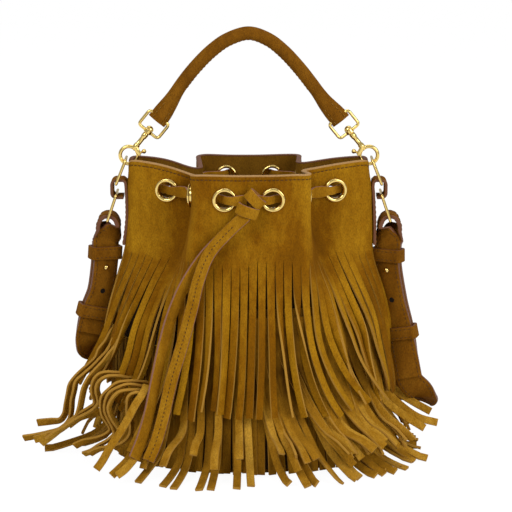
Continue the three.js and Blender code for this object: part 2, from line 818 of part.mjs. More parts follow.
const upperRingFoot = [TAB_LOOP_X, tabLoopTop - CLEARANCE - RING_WIRE];
const lowerRingTop = [TAB_LOOP_X, tabLoopFoot + CLEARANCE + RING_WIRE];
const ringSeat = BOW_RADIUS - BOW_WIRE - CLEARANCE - RING_WIRE;
const upperRingTop = [
  bowCentre[0] + ringSeat * hookDown[0],
  bowCentre[1] + ringSeat * hookDown[1],
];
const upperRingHalf = TAB_WIDTH / 2 + RING_PLAY + RING_WIRE;
const lowerRingHalf = STRAP_WIDTH / 2 + RING_PLAY + RING_WIRE;

/** The leather tab on the side seam: a sewn strip that folds outwards into a loop. */
function sideTab(side) {
  const hugs = (z) => Math.abs(wallPoint(0.25, z, outerFace + CLEARANCE).x);
  const play = RING_WIRE + 2 * CLEARANCE + RING_PLAY;
  const outline = new THREE.Shape();
  const outer = play + TAB_THICKNESS;
  outline.moveTo(hugs(TAB_FOOT), TAB_FOOT);
  outline.lineTo(hugs(TAB_FOOT) + TAB_THICKNESS, TAB_FOOT);
  outline.lineTo(hugs(gatherTop) + TAB_THICKNESS, tabLoopFoot - TAB_THICKNESS);
  outline.lineTo(TAB_LOOP_X, tabLoopFoot - TAB_THICKNESS);
  outline.absarc(TAB_LOOP_X, tabLoopFoot + play, outer, -Math.PI / 2, 0, false);
  outline.absarc(TAB_LOOP_X, tabLoopTop - play, outer, 0, Math.PI / 2, false);
  outline.lineTo(hugs(gatherTop), tabLoopTop + TAB_THICKNESS);
  outline.lineTo(hugs(gatherTop), gatherTop);
  const hole = new THREE.Path();
  hole.absarc(TAB_LOOP_X, tabLoopFoot + play, play, Math.PI, 2 * Math.PI, false);
  hole.absarc(TAB_LOOP_X, tabLoopTop - play, play, 0, Math.PI, false);
  outline.holes.push(hole);
  const geometry = new THREE.ExtrudeGeometry(outline, {
    depth: TAB_WIDTH,
    bevelEnabled: false,
    curveSegments: 6,
  });
  geometry.rotateX(Math.PI / 2).translate(0, TAB_WIDTH / 2, 0);
  if (side < 0) geometry.rotateZ(Math.PI);
  return geometry;
}

const bossMiddle = BOW_RADIUS + SHANK_LENGTH + CLEARANCE + BOSS_LENGTH / 2;
const eyeTop = bossMiddle + EYE_LENGTH;
const shankTop = BOW_RADIUS + SHANK_LENGTH;

/** The swivel eye: a rounded loop with a boss that the hook turns in. */
function swivelEye(side) {
  const half = EYE_WIDTH / 2;
  const corners = [
    onHook(side, eyeTop, -half),
    onHook(side, eyeTop, half),
    onHook(side, bossMiddle, half),
    onHook(side, bossMiddle, -half),
  ];
  const end = BOSS_LENGTH / 2;
  const boss = rod(
    onHook(side, bossMiddle - end, 0),
    onHook(side, bossMiddle + end, 0),
    BOSS_RADIUS,
    12,
  );
  const bore = rod(
    onHook(side, bossMiddle - BOSS_LENGTH, 0),
    onHook(side, bossMiddle + BOSS_LENGTH, 0),
    NECK_RADIUS + CLEARANCE,
    12,
  );
  return cut(join(wireLoop(corners, EYE_CORNER, EYE_WIRE), boss), [bore]);
}

const cheekIn = GATE_WIRE + CLEARANCE;
const CHEEK_THICKNESS = 0.9;
const CHEEK_RADIUS = 1.6;

/** The hook: bow, shank, neck and head, with two cheeks that hold the gate's pin. */
function hook(side) {
  const arc = Array.from({ length: 17 }, (_, i) => {
    const angle = THREE.MathUtils.degToRad((BOW_SWEEP * i) / 16);
    return onHook(side, BOW_RADIUS * Math.cos(angle), -BOW_RADIUS * Math.sin(angle));
  });
  const headFoot = shankTop + CLEARANCE + BOSS_LENGTH + CLEARANCE;
  const shank = [
    [0, 0],
    [BOW_WIRE, 0],
    [SHANK_RADIUS, 2],
    [SHANK_RADIUS, SHANK_LENGTH + BOW_WIRE],
    [NECK_RADIUS, SHANK_LENGTH + BOW_WIRE],
    [NECK_RADIUS, headFoot - BOW_RADIUS + BOW_WIRE],
    [HEAD_RADIUS, headFoot - BOW_RADIUS + BOW_WIRE],
    [0.7 * HEAD_RADIUS, headFoot - BOW_RADIUS + BOW_WIRE + 0.7 * HEAD_RADIUS],
    [0, headFoot - BOW_RADIUS + BOW_WIRE + HEAD_RADIUS * 0.9],
  ];
  const up = onHook(side, 1, 0).sub(onHook(side, 0, 0));
  const parts = [
    wire(arc, BOW_WIRE, levelY),
    turned(shank, onHook(side, BOW_RADIUS - BOW_WIRE, 0), up, 12),
    rod(
      onHook(side, ...GATE_PIVOT, -cheekIn - CHEEK_THICKNESS / 2),
      onHook(side, ...GATE_PIVOT, cheekIn + CHEEK_THICKNESS / 2),
      GATE_PIN,
    ),
  ];
  for (const face of [-1, 1]) {
    const y = face * (cheekIn + CHEEK_THICKNESS / 2);
    const root = BOW_RADIUS + SHANK_RADIUS;
    const sections = [
      [root, 0],
      GATE_PIVOT,
    ].map(([a, b]) => {
      const beside = CHEEK_RADIUS;
      return [
        onHook(side, a - beside, b, y - CHEEK_THICKNESS / 2),
        onHook(side, a + beside, b, y - CHEEK_THICKNESS / 2),
        onHook(side, a + beside, b, y + CHEEK_THICKNESS / 2),
        onHook(side, a - beside, b, y + CHEEK_THICKNESS / 2),
      ];
    });
    parts.push(loft(sections));
    parts.push(
      rod(
        onHook(side, ...GATE_PIVOT, y - CHEEK_THICKNESS / 2),
        onHook(side, ...GATE_PIVOT, y + CHEEK_THICKNESS / 2),
        CHEEK_RADIUS,
      ),
    );
  }
  return join(...parts);
}

const GATE_THUMB = [9.4, 7]; // middle of the thumb knob, on the hook
const THUMB_RADIUS = 1.7;

/** The sprung gate that closes the bow, with a thumb knob above its pin. */
function gate(side) {
  const gap = THREE.MathUtils.radToDeg(GATE_GAP / BOW_RADIUS);
  const from = BOW_SWEEP + gap;
  const sweep = GATE_ARC_END - from;
  const arc = Array.from({ length: 5 }, (_, i) => {
    const angle = THREE.MathUtils.degToRad(from + (sweep * i) / 4);
    return onHook(side, BOW_RADIUS * Math.cos(angle), -BOW_RADIUS * Math.sin(angle));
  });
  arc.push(onHook(side, ...GATE_PIVOT));
  const across = (radius, half) =>
    rod(onHook(side, ...GATE_PIVOT, -half), onHook(side, ...GATE_PIVOT, half), radius, 12);
  const thumb = new THREE.SphereGeometry(THUMB_RADIUS, 8, 5);
  const knob = onHook(side, ...GATE_THUMB);
  thumb.translate(knob.x, knob.y, knob.z);
  const lever = rod(onHook(side, ...GATE_PIVOT), knob, GATE_WIRE, 8);
  const body = join(wire(arc, GATE_WIRE, levelY), across(GATE_KNUCKLE, GATE_WIRE), lever, thumb);
  return cut(body, [across(GATE_PIN + CLEARANCE, 2 * GATE_KNUCKLE)]);
}

// Handle: a rolled tube that flattens at its ends and folds round each eye's upper bar
const handleEndHalf = EYE_WIDTH / 2 - EYE_WIRE - 2 * CLEARANCE;
const handleBar = (side) => onHook(side, eyeTop, 0);

/** The handle, bored for the two bars. */
function handle() {
  const half = (side) => [
    ...HANDLE_LINE.slice(1).map(([x, rise]) => new THREE.Vector3(side * x, 0, RIM_HEIGHT + rise)),
    handleBar(side),
    onHook(side, eyeTop - HANDLE_END_LAP, 0),
  ];
  const crown = new THREE.Vector3(HANDLE_LINE[0][0], 0, RIM_HEIGHT + HANDLE_LINE[0][1]);
  const line = new THREE.CatmullRomCurve3([...half(-1).reverse(), crown, ...half(1)]);
  const length = line.getLength();
  const steps = 26;
  const sections = [];
  for (let i = 0; i <= steps; i++) {
    const share = i / steps;
    const fromEnd = Math.min(share, 1 - share) * length;
    const flat = 1 - THREE.MathUtils.smoothstep(fromEnd, HANDLE_END_LAP, HANDLE_END_LENGTH);
    const across = new THREE.Vector3().crossVectors(line.getTangentAt(share), levelY);
    across.multiplyScalar(THREE.MathUtils.lerp(HANDLE_RADIUS, handleEndHalf, flat));
    const thick = THREE.MathUtils.lerp(HANDLE_RADIUS, HANDLE_END_THICKNESS / 2, flat);
    sections.push(
      ovalSection(line.getPointAt(share), across, levelY.clone().multiplyScalar(thick), 10),
    );
  }
  const bores = [-1, 1].map((side) =>
    rod(
      onHook(side, eyeTop, -EYE_WIDTH),
      onHook(side, eyeTop, EYE_WIDTH),
      EYE_WIRE + CLEARANCE,
      8,
    ),
  );
  return cut(loft(sections), bores);
}

piece("handle", handle(), strapSuede);
for (const [label, side] of [
  ["left", -1],
  ["right", 1],
]) {
  piece(`side_tab_${label}`, sideTab(side), strapSuede);
  piece(`upper_ring_${label}`, ring(side, upperRingTop, upperRingFoot, upperRingHalf), brass);
  piece(`lower_ring_${label}`, ring(side, lowerRingTop, lowerRingFoot, lowerRingHalf), brass);
  piece(`swivel_eye_${label}`, swivelEye(side), brass);
  piece(`hook_${label}`, hook(side), brass);
  piece(`gate_${label}`, gate(side), brass);
}

// Shoulder strap: each end loops over its lower ring and lies back on itself under two keepers
const plyMiddle = (STRAP_PLY_GAP + STRAP_THICKNESS) / 2;
const loopTop = lowerRingFoot[1] + RING_WIRE + 2 * CLEARANCE + STRAP_THICKNESS / 2;

/** Stops of one side, from the tail end up, over the ring and down to the tail end's level. */
function strapSide([side, line]) {
  const tail = line.map(([x, z]) => [[x, -plyMiddle, z], [0, -1, 0]]);
  const main = line.map(([x, z]) => [[x, plyMiddle, z], [0, 1, 0]]).reverse();
  const [ringX] = lowerRingFoot;
  const [topX, topZ] = line[line.length - 1];
  const inner = side * (ringX - STRAP_LOOP_HALF);
  const outer = side * (ringX + STRAP_LOOP_HALF);
  const lift = loopTop - topZ;
  return [
    ...tail,
    [[(topX + inner) / 2, -0.6 * plyMiddle, topZ + 0.28 * lift], [-0.7 * side, -0.7, 0]],
    [[inner, 0, topZ + 0.56 * lift], [-side, 0, 0]],
    [[side * (ringX - 0.62 * STRAP_LOOP_HALF), 0, topZ + 0.92 * lift], [-0.7 * side, 0, 0.7]],
    [[side * ringX, 0, loopTop], [0, 0, 1]],
    [[side * (ringX + 0.62 * STRAP_LOOP_HALF), 0, topZ + 0.92 * lift], [0.7 * side, 0, 0.7]],
    [[outer, 0, topZ + 0.56 * lift], [side, 0, 0]],
    [[(topX + outer) / 2, 0.6 * plyMiddle, topZ + 0.28 * lift], [0.7 * side, 0.7, 0]],
    ...main,
  ];
}

/** A point of a strap's side line, and the way the strap runs there. */
function onStrap(line, stop) {
  const index = STRAP_STOPS.indexOf(stop);
  const [x, z] = line[index];
  const [x0, z0] = line[Math.max(index - 1, 0)];
  const [x1, z1] = line[Math.min(index + 1, line.length - 1)];
  const along = new THREE.Vector3(x1 - x0, 0, z1 - z0).normalize();
  return { at: new THREE.Vector3(x, 0, z), along };
}

const STRAP_STEPS = 116;
const strapFace = plyMiddle + STRAP_THICKNESS / 2;

/** The whole strap in one piece, with its stud holes and spare tail holes. */
function shoulderStrap() {
  const [left, right] = strapLines;
  const stops = [...strapSide(left), ...strapBackRun, ...strapSide(right).reverse()];
  const places = stops.map(([place]) => vec(place));
  const faces = stops.map(([, face]) => vec(face));
  const body = ribbon(places, faces, STRAP_STEPS, () => STRAP_WIDTH, STRAP_THICKNESS);
  const holes = strapLines.flatMap(([, line]) => {
    const stud = onStrap(line, "stud").at;
    const spare = onStrap(line, "hole").at;
    const front = -2 * strapFace;
    return [
      rod(stud.clone().setY(front), stud.clone().setY(-front), STUD_NECK + CLEARANCE, 8),
      rod(spare.clone().setY(front), spare.clone().setY(0), STRAP_HOLE, 8),
    ];
  });
  return cut(body, holes);
}

/** A leather keeper round both layers of the strap. */
function keeper(line, stop) {
  const { at, along } = onStrap(line, stop);
  const half = [STRAP_WIDTH / 2 + 2 * CLEARANCE, strapFace + CLEARANCE];
  const outline = new THREE.Shape();
  const [w, d] = half.map((size) => size + KEEPER_THICKNESS);
  outline.moveTo(-w, -d).lineTo(w, -d).lineTo(w, d).lineTo(-w, d).closePath();
  const hole = new THREE.Path();
  hole.moveTo(-half[0], -half[1]).lineTo(-half[0], half[1]);
  hole.lineTo(half[0], half[1]).lineTo(half[0], -half[1]).closePath();
  outline.holes.push(hole);
  const geometry = new THREE.ExtrudeGeometry(outline, { depth: KEEPER_HEIGHT, bevelEnabled: false });
  const turn = new THREE.Matrix4().makeBasis(
    new THREE.Vector3().crossVectors(levelY, along),
    levelY,
    along,
  );
  geometry.translate(0, 0, -KEEPER_HEIGHT / 2).applyMatrix4(turn).translate(at.x, at.y, at.z);
  return geometry;
}

/** A stud with its head in front of the strap and its foot behind. */
function stud(line) {
  const seat = strapFace + CLEARANCE;
  const profile = [
    [0, -seat - STUD_HEAD_THICKNESS / 2],
    [STUD_HEAD, -seat - STUD_HEAD_THICKNESS / 2],
    [STUD_HEAD, -seat],
    [STUD_NECK, -seat],
    [STUD_NECK, seat],
    [STUD_HEAD, seat],
    [0.7 * STUD_HEAD, seat + STUD_HEAD_THICKNESS],
    [0, seat + STUD_HEAD_THICKNESS],
  ];
  return turned(profile, onStrap(line, "stud").at, new THREE.Vector3(0, -1, 0), 12);
}

piece("shoulder_strap", shoulderStrap(), strapSuede);
for (const [side, line] of strapLines) {
  const label = side < 0 ? "left" : "right";
  piece(`upper_keeper_${label}`, keeper(line, "upperKeeper"), strapSuede);
  piece(`lower_keeper_${label}`, keeper(line, "lowerKeeper"), strapSuede);
  piece(`strap_stud_${label}`, stud(line), brass);
}

export default bag;
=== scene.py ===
"""Fringed suede drawstring bag: suede, fringe, laces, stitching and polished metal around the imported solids.

Lengths are in millimetres until a mesh is made, and every piece keeps its place in its own mesh.
"""

from __future__ import annotations

import logging
import math
from dataclasses import dataclass, field
from enum import Enum, IntEnum
from typing import Iterable, Sequence

import bpy
import numpy as np
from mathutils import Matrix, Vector

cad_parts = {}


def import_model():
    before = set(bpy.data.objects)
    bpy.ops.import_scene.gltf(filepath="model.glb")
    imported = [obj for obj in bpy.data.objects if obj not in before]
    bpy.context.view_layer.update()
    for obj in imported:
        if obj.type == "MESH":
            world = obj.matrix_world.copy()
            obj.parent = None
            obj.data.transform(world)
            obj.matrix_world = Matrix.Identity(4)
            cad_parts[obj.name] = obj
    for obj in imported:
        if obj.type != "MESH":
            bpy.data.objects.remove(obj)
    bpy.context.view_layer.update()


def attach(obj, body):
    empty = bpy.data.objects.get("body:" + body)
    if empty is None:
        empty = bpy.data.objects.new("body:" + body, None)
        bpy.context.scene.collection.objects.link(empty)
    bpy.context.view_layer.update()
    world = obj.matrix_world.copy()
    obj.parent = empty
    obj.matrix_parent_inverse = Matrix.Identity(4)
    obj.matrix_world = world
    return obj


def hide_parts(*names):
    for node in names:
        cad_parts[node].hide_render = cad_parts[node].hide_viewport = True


LOG = logging.getLogger("fringed_bag")
MM = 0.001
TINY = 1e-9
BAG = "bag"
HALVES = (("front", -0.25), ("back", 0.25))

Array = np.ndarray
Chance = np.random.Generator
Pair = tuple[float, float]
Triple = tuple[float, float, float]
Table = tuple[tuple[float, ...], ...]
Stops = Sequence[Sequence[float]]
Piece = bpy.types.Object
Tree = bpy.types.NodeTree
Socket = bpy.types.NodeSocket
Material = bpy.types.Material
Inputs = dict[str | int, object]


class Slot(Enum):
    """Material slots of the record."""

    SUEDE = "suede"
    LINING = "lining"
    STRAP = "strap"
    BRASS = "brass"


class Side(IntEnum):
    """Sides of the bag, as the sign of x."""

    LEFT = -1
    RIGHT = 1

    @property
    def label(self) -> str:
        """The side's name in the names of pieces and bodies."""
        return self.name.lower()


def linear(code: str) -> tuple[float, float, float, float]:
    """Turns a six-digit sRGB code into a linear colour.

    Args:
        code: Hexadecimal colour, such as "96690f".

    Returns:
        Linear red, green, blue and an alpha of one.
    """
    parts = [int(code[i : i + 2], 16) / 255 for i in (0, 2, 4)]
    spread = [c / 12.92 if c <= 0.04045 else ((c + 0.055) / 1.055) ** 2.4 for c in parts]
    return (spread[0], spread[1], spread[2], 1.0)


def smoothstep(value: Array | float, low: float, high: float) -> Array:
    """Eases a value from 0 at low to 1 at high."""
    share = np.clip((np.asarray(value, float) - low) / (high - low), 0, 1)
    return share * share * (3 - 2 * share)


def hump(value: Array | float, centre: float, width: float) -> Array:
    """A smooth hump of height 1 at a centre."""
    return np.exp(-(((np.asarray(value, float) - centre) / width) ** 2))


def unit(vectors: Array) -> Array:
    """Scales each vector to length 1."""
    vectors = np.asarray(vectors, float)
    return vectors / np.maximum(np.linalg.norm(vectors, axis=-1, keepdims=True), TINY)


def run_along(line: Array) -> Array:
    """Distance along a line to each of its points."""
    return np.concatenate([[0], np.cumsum(np.linalg.norm(np.diff(line, axis=0), axis=1))])


def centripetal(stops: Array, share: Array) -> Array:
    """Points of a smooth centripetal curve between the middle two of four stops.

    Args:
        stops: The four stops.
        share: Shares of the way from the second stop to the third.

    Returns:
        A point for each share.
    """
    p0, p1, p2, p3 = stops
    t1 = np.sqrt(np.linalg.norm(p1 - p0)) + TINY
    t2 = t1 + np.sqrt(np.linalg.norm(p2 - p1)) + TINY
    t3 = t2 + np.sqrt(np.linalg.norm(p3 - p2)) + TINY
    t = (t1 + (t2 - t1) * share)[:, None]
    a1 = (t1 - t) / t1 * p0 + t / t1 * p1
    a2 = (t2 - t) / (t2 - t1) * p1 + (t - t1) / (t2 - t1) * p2
    a3 = (t3 - t) / (t3 - t2) * p2 + (t - t2) / (t3 - t2) * p3
    b1 = (t2 - t) / t2 * a1 + t / t2 * a2
    b2 = (t3 - t) / (t3 - t1) * a2 + (t - t1) / (t3 - t1) * a3
    return (t2 - t) / (t2 - t1) * b1 + (t - t1) / (t2 - t1) * b2


def with_ends(points: Array) -> Array:
    """Adds a stop before the first point and one after the last, for an open curve."""
    return np.vstack([2 * points[0] - points[1], points, 2 * points[-1] - points[-2]])


def spline(stops: Stops, count: int, closed: bool = False) -> Array:
    """Draws a smooth curve through points, evenly spaced along its length.

    Args:
        stops: Points that the curve passes through.
        count: Number of points to return.
        closed: Whether the curve returns to its first point.

    Returns:
        Points along the curve.
    """
    points = np.asarray(stops, float)
    points = np.vstack([points[-1], points, points[:2]]) if closed else with_ends(points)
    share = np.linspace(0, 1, 25)[:-1]
    fine = [centripetal(points[i : i + 4], share) for i in range(len(points) - 3)]
    line = np.vstack([*fine, points[-2][None]])
    run = run_along(line)
    wanted = np.linspace(0, run[-1], count + 1 if closed else count)
    even = np.stack([np.interp(wanted, run, line[:, i]) for i in range(line.shape[1])], axis=1)
    return even[:-1] if closed else even


def rounded_corner(before: Array, corner: Array, after: Array, rounding: float, steps: int) -> Array:
    """Points of a corner that is rounded off.

    Args:
        before: Corner before this one.
        corner: The corner.
        after: Corner after this one.
        rounding: Length of the rounding along each side.
        steps: Number of points.

    Returns:
        Points of the rounding.
    """
    bend = np.linspace(0, 1, steps)[:, None]
    start = corner + unit(before - corner) * rounding
    end = corner + unit(after - corner) * rounding
    return (1 - bend) ** 2 * start + 2 * bend * (1 - bend) * corner + bend**2 * end


def read_round(table: Sequence[Pair], t: float) -> float:
    """Reads a table of values by share of the way round, from -0.5 to 0.5."""
    places, values = zip(*table)
    return float(np.interp((t + 0.5) % 1 - 0.5, places, values))


def tangents(points: Array, closed: bool = False) -> Array:
    """Unit directions along a line of points.

    Args:
        points: The line.
        closed: Whether the line is a loop.

    Returns:
        A direction for each point.
    """
    if closed:
        return unit(np.roll(points, -1, axis=0) - np.roll(points, 1, axis=0))
    return unit(np.gradient(points, axis=0))


def squared(along: Array, looks: Array) -> Array:
    """Makes facing vectors square to a line's directions."""
    return unit(looks - (looks * along).sum(1, keepdims=True) * along)


# Nodes


def feed(tree: Tree, node: bpy.types.Node, inputs: Inputs) -> None:
    """Sets inputs of a node.

    Args:
        tree: Tree that holds the node.
        node: The node.
        inputs: For each input's name or number, its value or the socket that feeds it.
    """
    for label, value in inputs.items():
        if isinstance(value, Socket):
            tree.links.new(value, node.inputs[label])
        else:
            node.inputs[label].default_value = value


def add_node(tree: Tree, kind: str, inputs: Inputs | None = None, **settings: object) -> bpy.types.Node:
    """Adds a node to a shader or geometry tree.

    Args:
        tree: The tree.
        kind: Type of the node.
        inputs: For each input's name or number, its value or the socket that feeds it.
        settings: Properties of the node.

    Returns:
        The node.
    """
    node = tree.nodes.new(kind)
    for label, value in settings.items():
        setattr(node, label, value)
    feed(tree, node, inputs or {})
    return node


def maths(tree: Tree, operation: str, *values: object, clamp: bool = False) -> Socket:
    """Works on numbers or sockets and gives the result's socket."""
    settings = {"operation": operation, "use_clamp": clamp}
    return add_node(tree, "ShaderNodeMath", dict(enumerate(values)), **settings).outputs[0]


def ranged(tree: Tree, value: Socket, given: Sequence[float], wanted: Sequence[float]) -> Socket:
    """Maps a value from one range to another and gives the result's socket."""
    inputs = zip(("Value", "From Min", "From Max", "To Min", "To Max"), (value, *given, *wanted))
    return add_node(tree, "ShaderNodeMapRange", dict(inputs)).outputs["Result"]


def blend(tree: Tree, share: Socket, first: Socket, second: Socket) -> Socket:
    """Mixes two colours and gives the result's socket."""
    inputs = {"Factor": share, "A": first, "B": second}
    return add_node(tree, "ShaderNodeMix", inputs, data_type="RGBA").outputs["Result"]


def noise(tree: Tree, place: Socket, scale: Socket | float, detail: float, roughness: float = 0.5) -> Socket:
    """Adds a noise pattern and gives its value's socket."""
    inputs = {"Vector": place, "Scale": scale, "Detail": detail, "Roughness": roughness}
    return add_node(tree, "ShaderNodeTexNoise", inputs).outputs["Fac"]


# Finishes


class ShaderGroups:
    """Shader node groups that several finishes share, each built once."""

    nap_stretch: Triple = (1.0, 1.0, 0.45)
    fleck_scale: float = 260.0

    def __init__(self) -> None:
        """Builds the groups."""
        self.nap = self._nap()
        self.handling = self._handling()

    @staticmethod
    def _group(name: str, inputs: dict[str, object], outputs: dict[str, str],
               ) -> tuple[Tree, bpy.types.NodeOutputs, bpy.types.Node]:
        """Starts a shader group with named sockets.

        Args:
            name: Name of the group.
            inputs: Default of each input, a colour or a number.
            outputs: Socket type of each output.

        Returns:
            The tree, the sockets that give its inputs, and its output node.
        """
        tree = bpy.data.node_groups.new(name, "ShaderNodeTree")
        for label, value in inputs.items():
            kind = "NodeSocketColor" if isinstance(value, tuple) else "NodeSocketFloat"
            socket = tree.interface.new_socket(name=label, in_out="INPUT", socket_type=kind)
            socket.default_value = value
        for label, kind in outputs.items():
            tree.interface.new_socket(name=label, in_out="OUTPUT", socket_type=kind)
        return tree, tree.nodes.new("NodeGroupInput").outputs, tree.nodes.new("NodeGroupOutput")

    def _nap(self) -> Tree:
        """Suede nap: fine fibres, flecks, brushed patches, and the shade attribute, which carries random tone
        from piece to piece and painted light and shade.

        Returns:
            The group, which puts out a colour, a roughness and a height.
        """
        tree, given, out = self._group(
            "suede_nap",
            {
                "Colour": (0.5, 0.3, 0.05, 1),
                "Shadow": (0.2, 0.1, 0.02, 1),
                "Light": (0.7, 0.5, 0.1, 1),
                "Fibre Scale": 1500.0,
                "Patch Scale": 38.0,
                "Patch Amount": 0.5,
                "Shade": 0.0,
            },
            {"Colour": "NodeSocketColor", "Roughness": "NodeSocketFloat", "Height": "NodeSocketFloat"},
        )
        place = add_node(tree, "ShaderNodeTexCoord").outputs["Object"]
        stretch = {"Vector": place, "Scale": self.nap_stretch}
        stretched = add_node(tree, "ShaderNodeMapping", stretch).outputs["Vector"]
        fibre = noise(tree, stretched, given["Fibre Scale"], 3.0)
        patch = noise(tree, stretched, given["Patch Scale"], 4.0, 0.62)
        fleck = noise(tree, stretched, self.fleck_scale, 2.0)
        brushed = ranged(tree, patch, (0.34, 0.66), (-0.55, 0.85))
        flecked = ranged(tree, fleck, (0.3, 0.7), (-0.24, 0.24))
        # The Shade input brings random tone and painted light and shade; positive values lighten towards
        # Light, negative ones darken towards Shadow.
        shaded = maths(tree, "ADD", maths(tree, "ADD", brushed, flecked), given["Shade"])
        lifted = maths(tree, "MULTIPLY", shaded, given["Patch Amount"], clamp=True)
        sunk = maths(tree, "MULTIPLY", shaded, -0.4, clamp=True)
        colour = blend(tree, lifted, given["Colour"], given["Light"])
        colour = blend(tree, sunk, colour, given["Shadow"])
        pits = ranged(tree, fibre, (0.32, 0.6), (0.42, 0.0))
        feed(tree, out, {
            "Colour": blend(tree, pits, colour, given["Shadow"]),
            "Roughness": ranged(tree, fibre, (0.0, 1.0), (0.8, 1.0)),
            "Height": maths(tree, "MULTIPLY_ADD", patch, 0.6, fibre),
        })
        return tree

    def _handling(self) -> Tree:
        """Handling marks on smooth surfaces: soft smudges.

        Returns:
            The group, which puts out a roughness and a height.
        """
        tree, given, out = self._group(
            "handling_marks",
            {"Roughness": 0.15, "Smudge": 0.1, "Scale": 160.0},
            {"Roughness": "NodeSocketFloat", "Height": "NodeSocketFloat"},
        )
        place = add_node(tree, "ShaderNodeTexCoord").outputs["Object"]
        smudge = noise(tree, place, given["Scale"], 5.0)
        spread = maths(tree, "MULTIPLY_ADD", smudge, given["Smudge"], given["Roughness"])
        feed(tree, out, {"Roughness": spread, "Height": smudge})
        return tree


def new_material(name: str) -> tuple[Material, bpy.types.Node]:
    """Makes a material with its Principled shader.

    Args:
        name: Name of the material.

    Returns:
        The material and its Principled node.
    """
    material = bpy.data.materials.new(name)
    material.use_nodes = True
    return material, material.node_tree.nodes["Principled BSDF"]


def add_bump(tree: Tree, shader: bpy.types.Node, height: Socket, strength: float, depth: float) -> None:
    """Feeds a height into a shader's normal.

    Args:
        tree: Tree that holds the shader.
        shader: Principled node.
        height: Socket that gives the height.
        strength: Share of the bump that shows.
        depth: Height of the relief in millimetres.
    """
    inputs = {"Strength": strength, "Distance": depth * MM, "Height": height}
    bump = add_node(tree, "ShaderNodeBump", inputs)
    feed(tree, shader, {"Normal": bump.outputs["Normal"]})


@dataclass(frozen=True)
class SuedeFinish:
    """A napped leather surface.

    Attributes:
        name: Name of the material.
        colour: Main colour.
        shadow: Colour between the fibres, and the colour that painted shade darkens towards.
        light: Colour where the nap is brushed up, and the colour that painted light lightens towards.
        patch_scale: Patches of brushed nap in a metre.
        patch_amount: Share of the light colour in a patch.
        sheen: Weight of the nap's sheen.
        relief: Depth of the nap in millimetres.
        bump: Share of the relief that shows.
        specular: Level of plain gloss.
        sheen_roughness: Roughness of the sheen.
    """

    name: str
    colour: str
    shadow: str
    light: str
    patch_scale: float = 38.0
    patch_amount: float = 0.55
    sheen: float = 0.1
    relief: float = 0.35
    bump: float = 0.55
    specular: float = 0.06
    sheen_roughness: float = 0.45

    def make(self, groups: ShaderGroups) -> Material:
        """Builds the material.

        Args:
            groups: Shared shader groups.

        Returns:
            The material.
        """
        material, shader = new_material(self.name)
        tree = material.node_tree
        inputs = {
            "Colour": linear(self.colour),
            "Shadow": linear(self.shadow),
            "Light": linear(self.light),
            "Patch Scale": self.patch_scale,
            "Patch Amount": self.patch_amount,
            "Shade": add_node(tree, "ShaderNodeAttribute", attribute_name="shade").outputs["Fac"],
        }
        nap = add_node(tree, "ShaderNodeGroup", inputs, node_tree=groups.nap).outputs
        feed(tree, shader, {
            "Base Color": nap["Colour"],
            "Roughness": nap["Roughness"],
            "Specular IOR Level": self.specular,
            "Sheen Weight": self.sheen,
            "Sheen Roughness": self.sheen_roughness,
            "Sheen Tint": linear(self.light),
        })
        add_bump(tree, shader, nap["Height"], self.bump, self.relief)
        return material


@dataclass(frozen=True)
class MetalFinish:
    """Polished metal.

    Attributes:
        name: Name of the material.
        colour: Colour of its reflections.
        roughness: Roughness where it is clean.
        smudge: Roughness that handling adds.
        relief: Depth of its unevenness in millimetres.
        bump: Share of the relief that shows.
    """

    name: str
    colour: str
    roughness: float
    smudge: float
    relief: float = 0.1
    bump: float = 0.08

    def make(self, groups: ShaderGroups) -> Material:
        """Builds the material.

        Args:
            groups: Shared shader groups.

        Returns:
            The material.
        """
        material, shader = new_material(self.name)
        tree = material.node_tree
        inputs = {"Roughness": self.roughness, "Smudge": self.smudge}
        marks = add_node(tree, "ShaderNodeGroup", inputs, node_tree=groups.handling).outputs
        feed(tree, shader, {
            "Base Color": linear(self.colour),
            "Metallic": 1.0,
            "Roughness": marks["Roughness"],
        })
        add_bump(tree, shader, marks["Height"], self.bump, self.relief)
        return material


@dataclass(frozen=True)
class EdgeFinish:
    """A cut or painted leather edge, or sewing thread: plain colour with a soft shine.

    Attributes:
        name: Name of the material.
        colour: Colour.
        roughness: Roughness.
        relief: Depth of its unevenness in millimetres.
        bump: Share of the relief that shows.
        smudge: Roughness that handling adds.
        mark_scale: Handling marks in a metre.
        specular: Level of plain gloss.
    """

    name: str
    colour: str
    roughness: float
    relief: float
    bump: float = 0.4
    smudge: float = 0.2
    mark_scale: float = 420.0
    specular: float = 0.3

    def make(self, groups: ShaderGroups) -> Material:
        """Builds the material.

        Args:
            groups: Shared shader groups.

        Returns:
            The material.
        """
        material, shader = new_material(self.name)
        tree = material.node_tree
        inputs = {"Roughness": self.roughness, "Smudge": self.smudge, "Scale": self.mark_scale}
        marks = add_node(tree, "ShaderNodeGroup", inputs, node_tree=groups.handling).outputs
        feed(tree, shader, {
            "Base Color": linear(self.colour),
            "Specular IOR Level": self.specular,
            "Roughness": marks["Roughness"],
        })
        add_bump(tree, shader, marks["Height"], self.bump, self.relief)
        return material


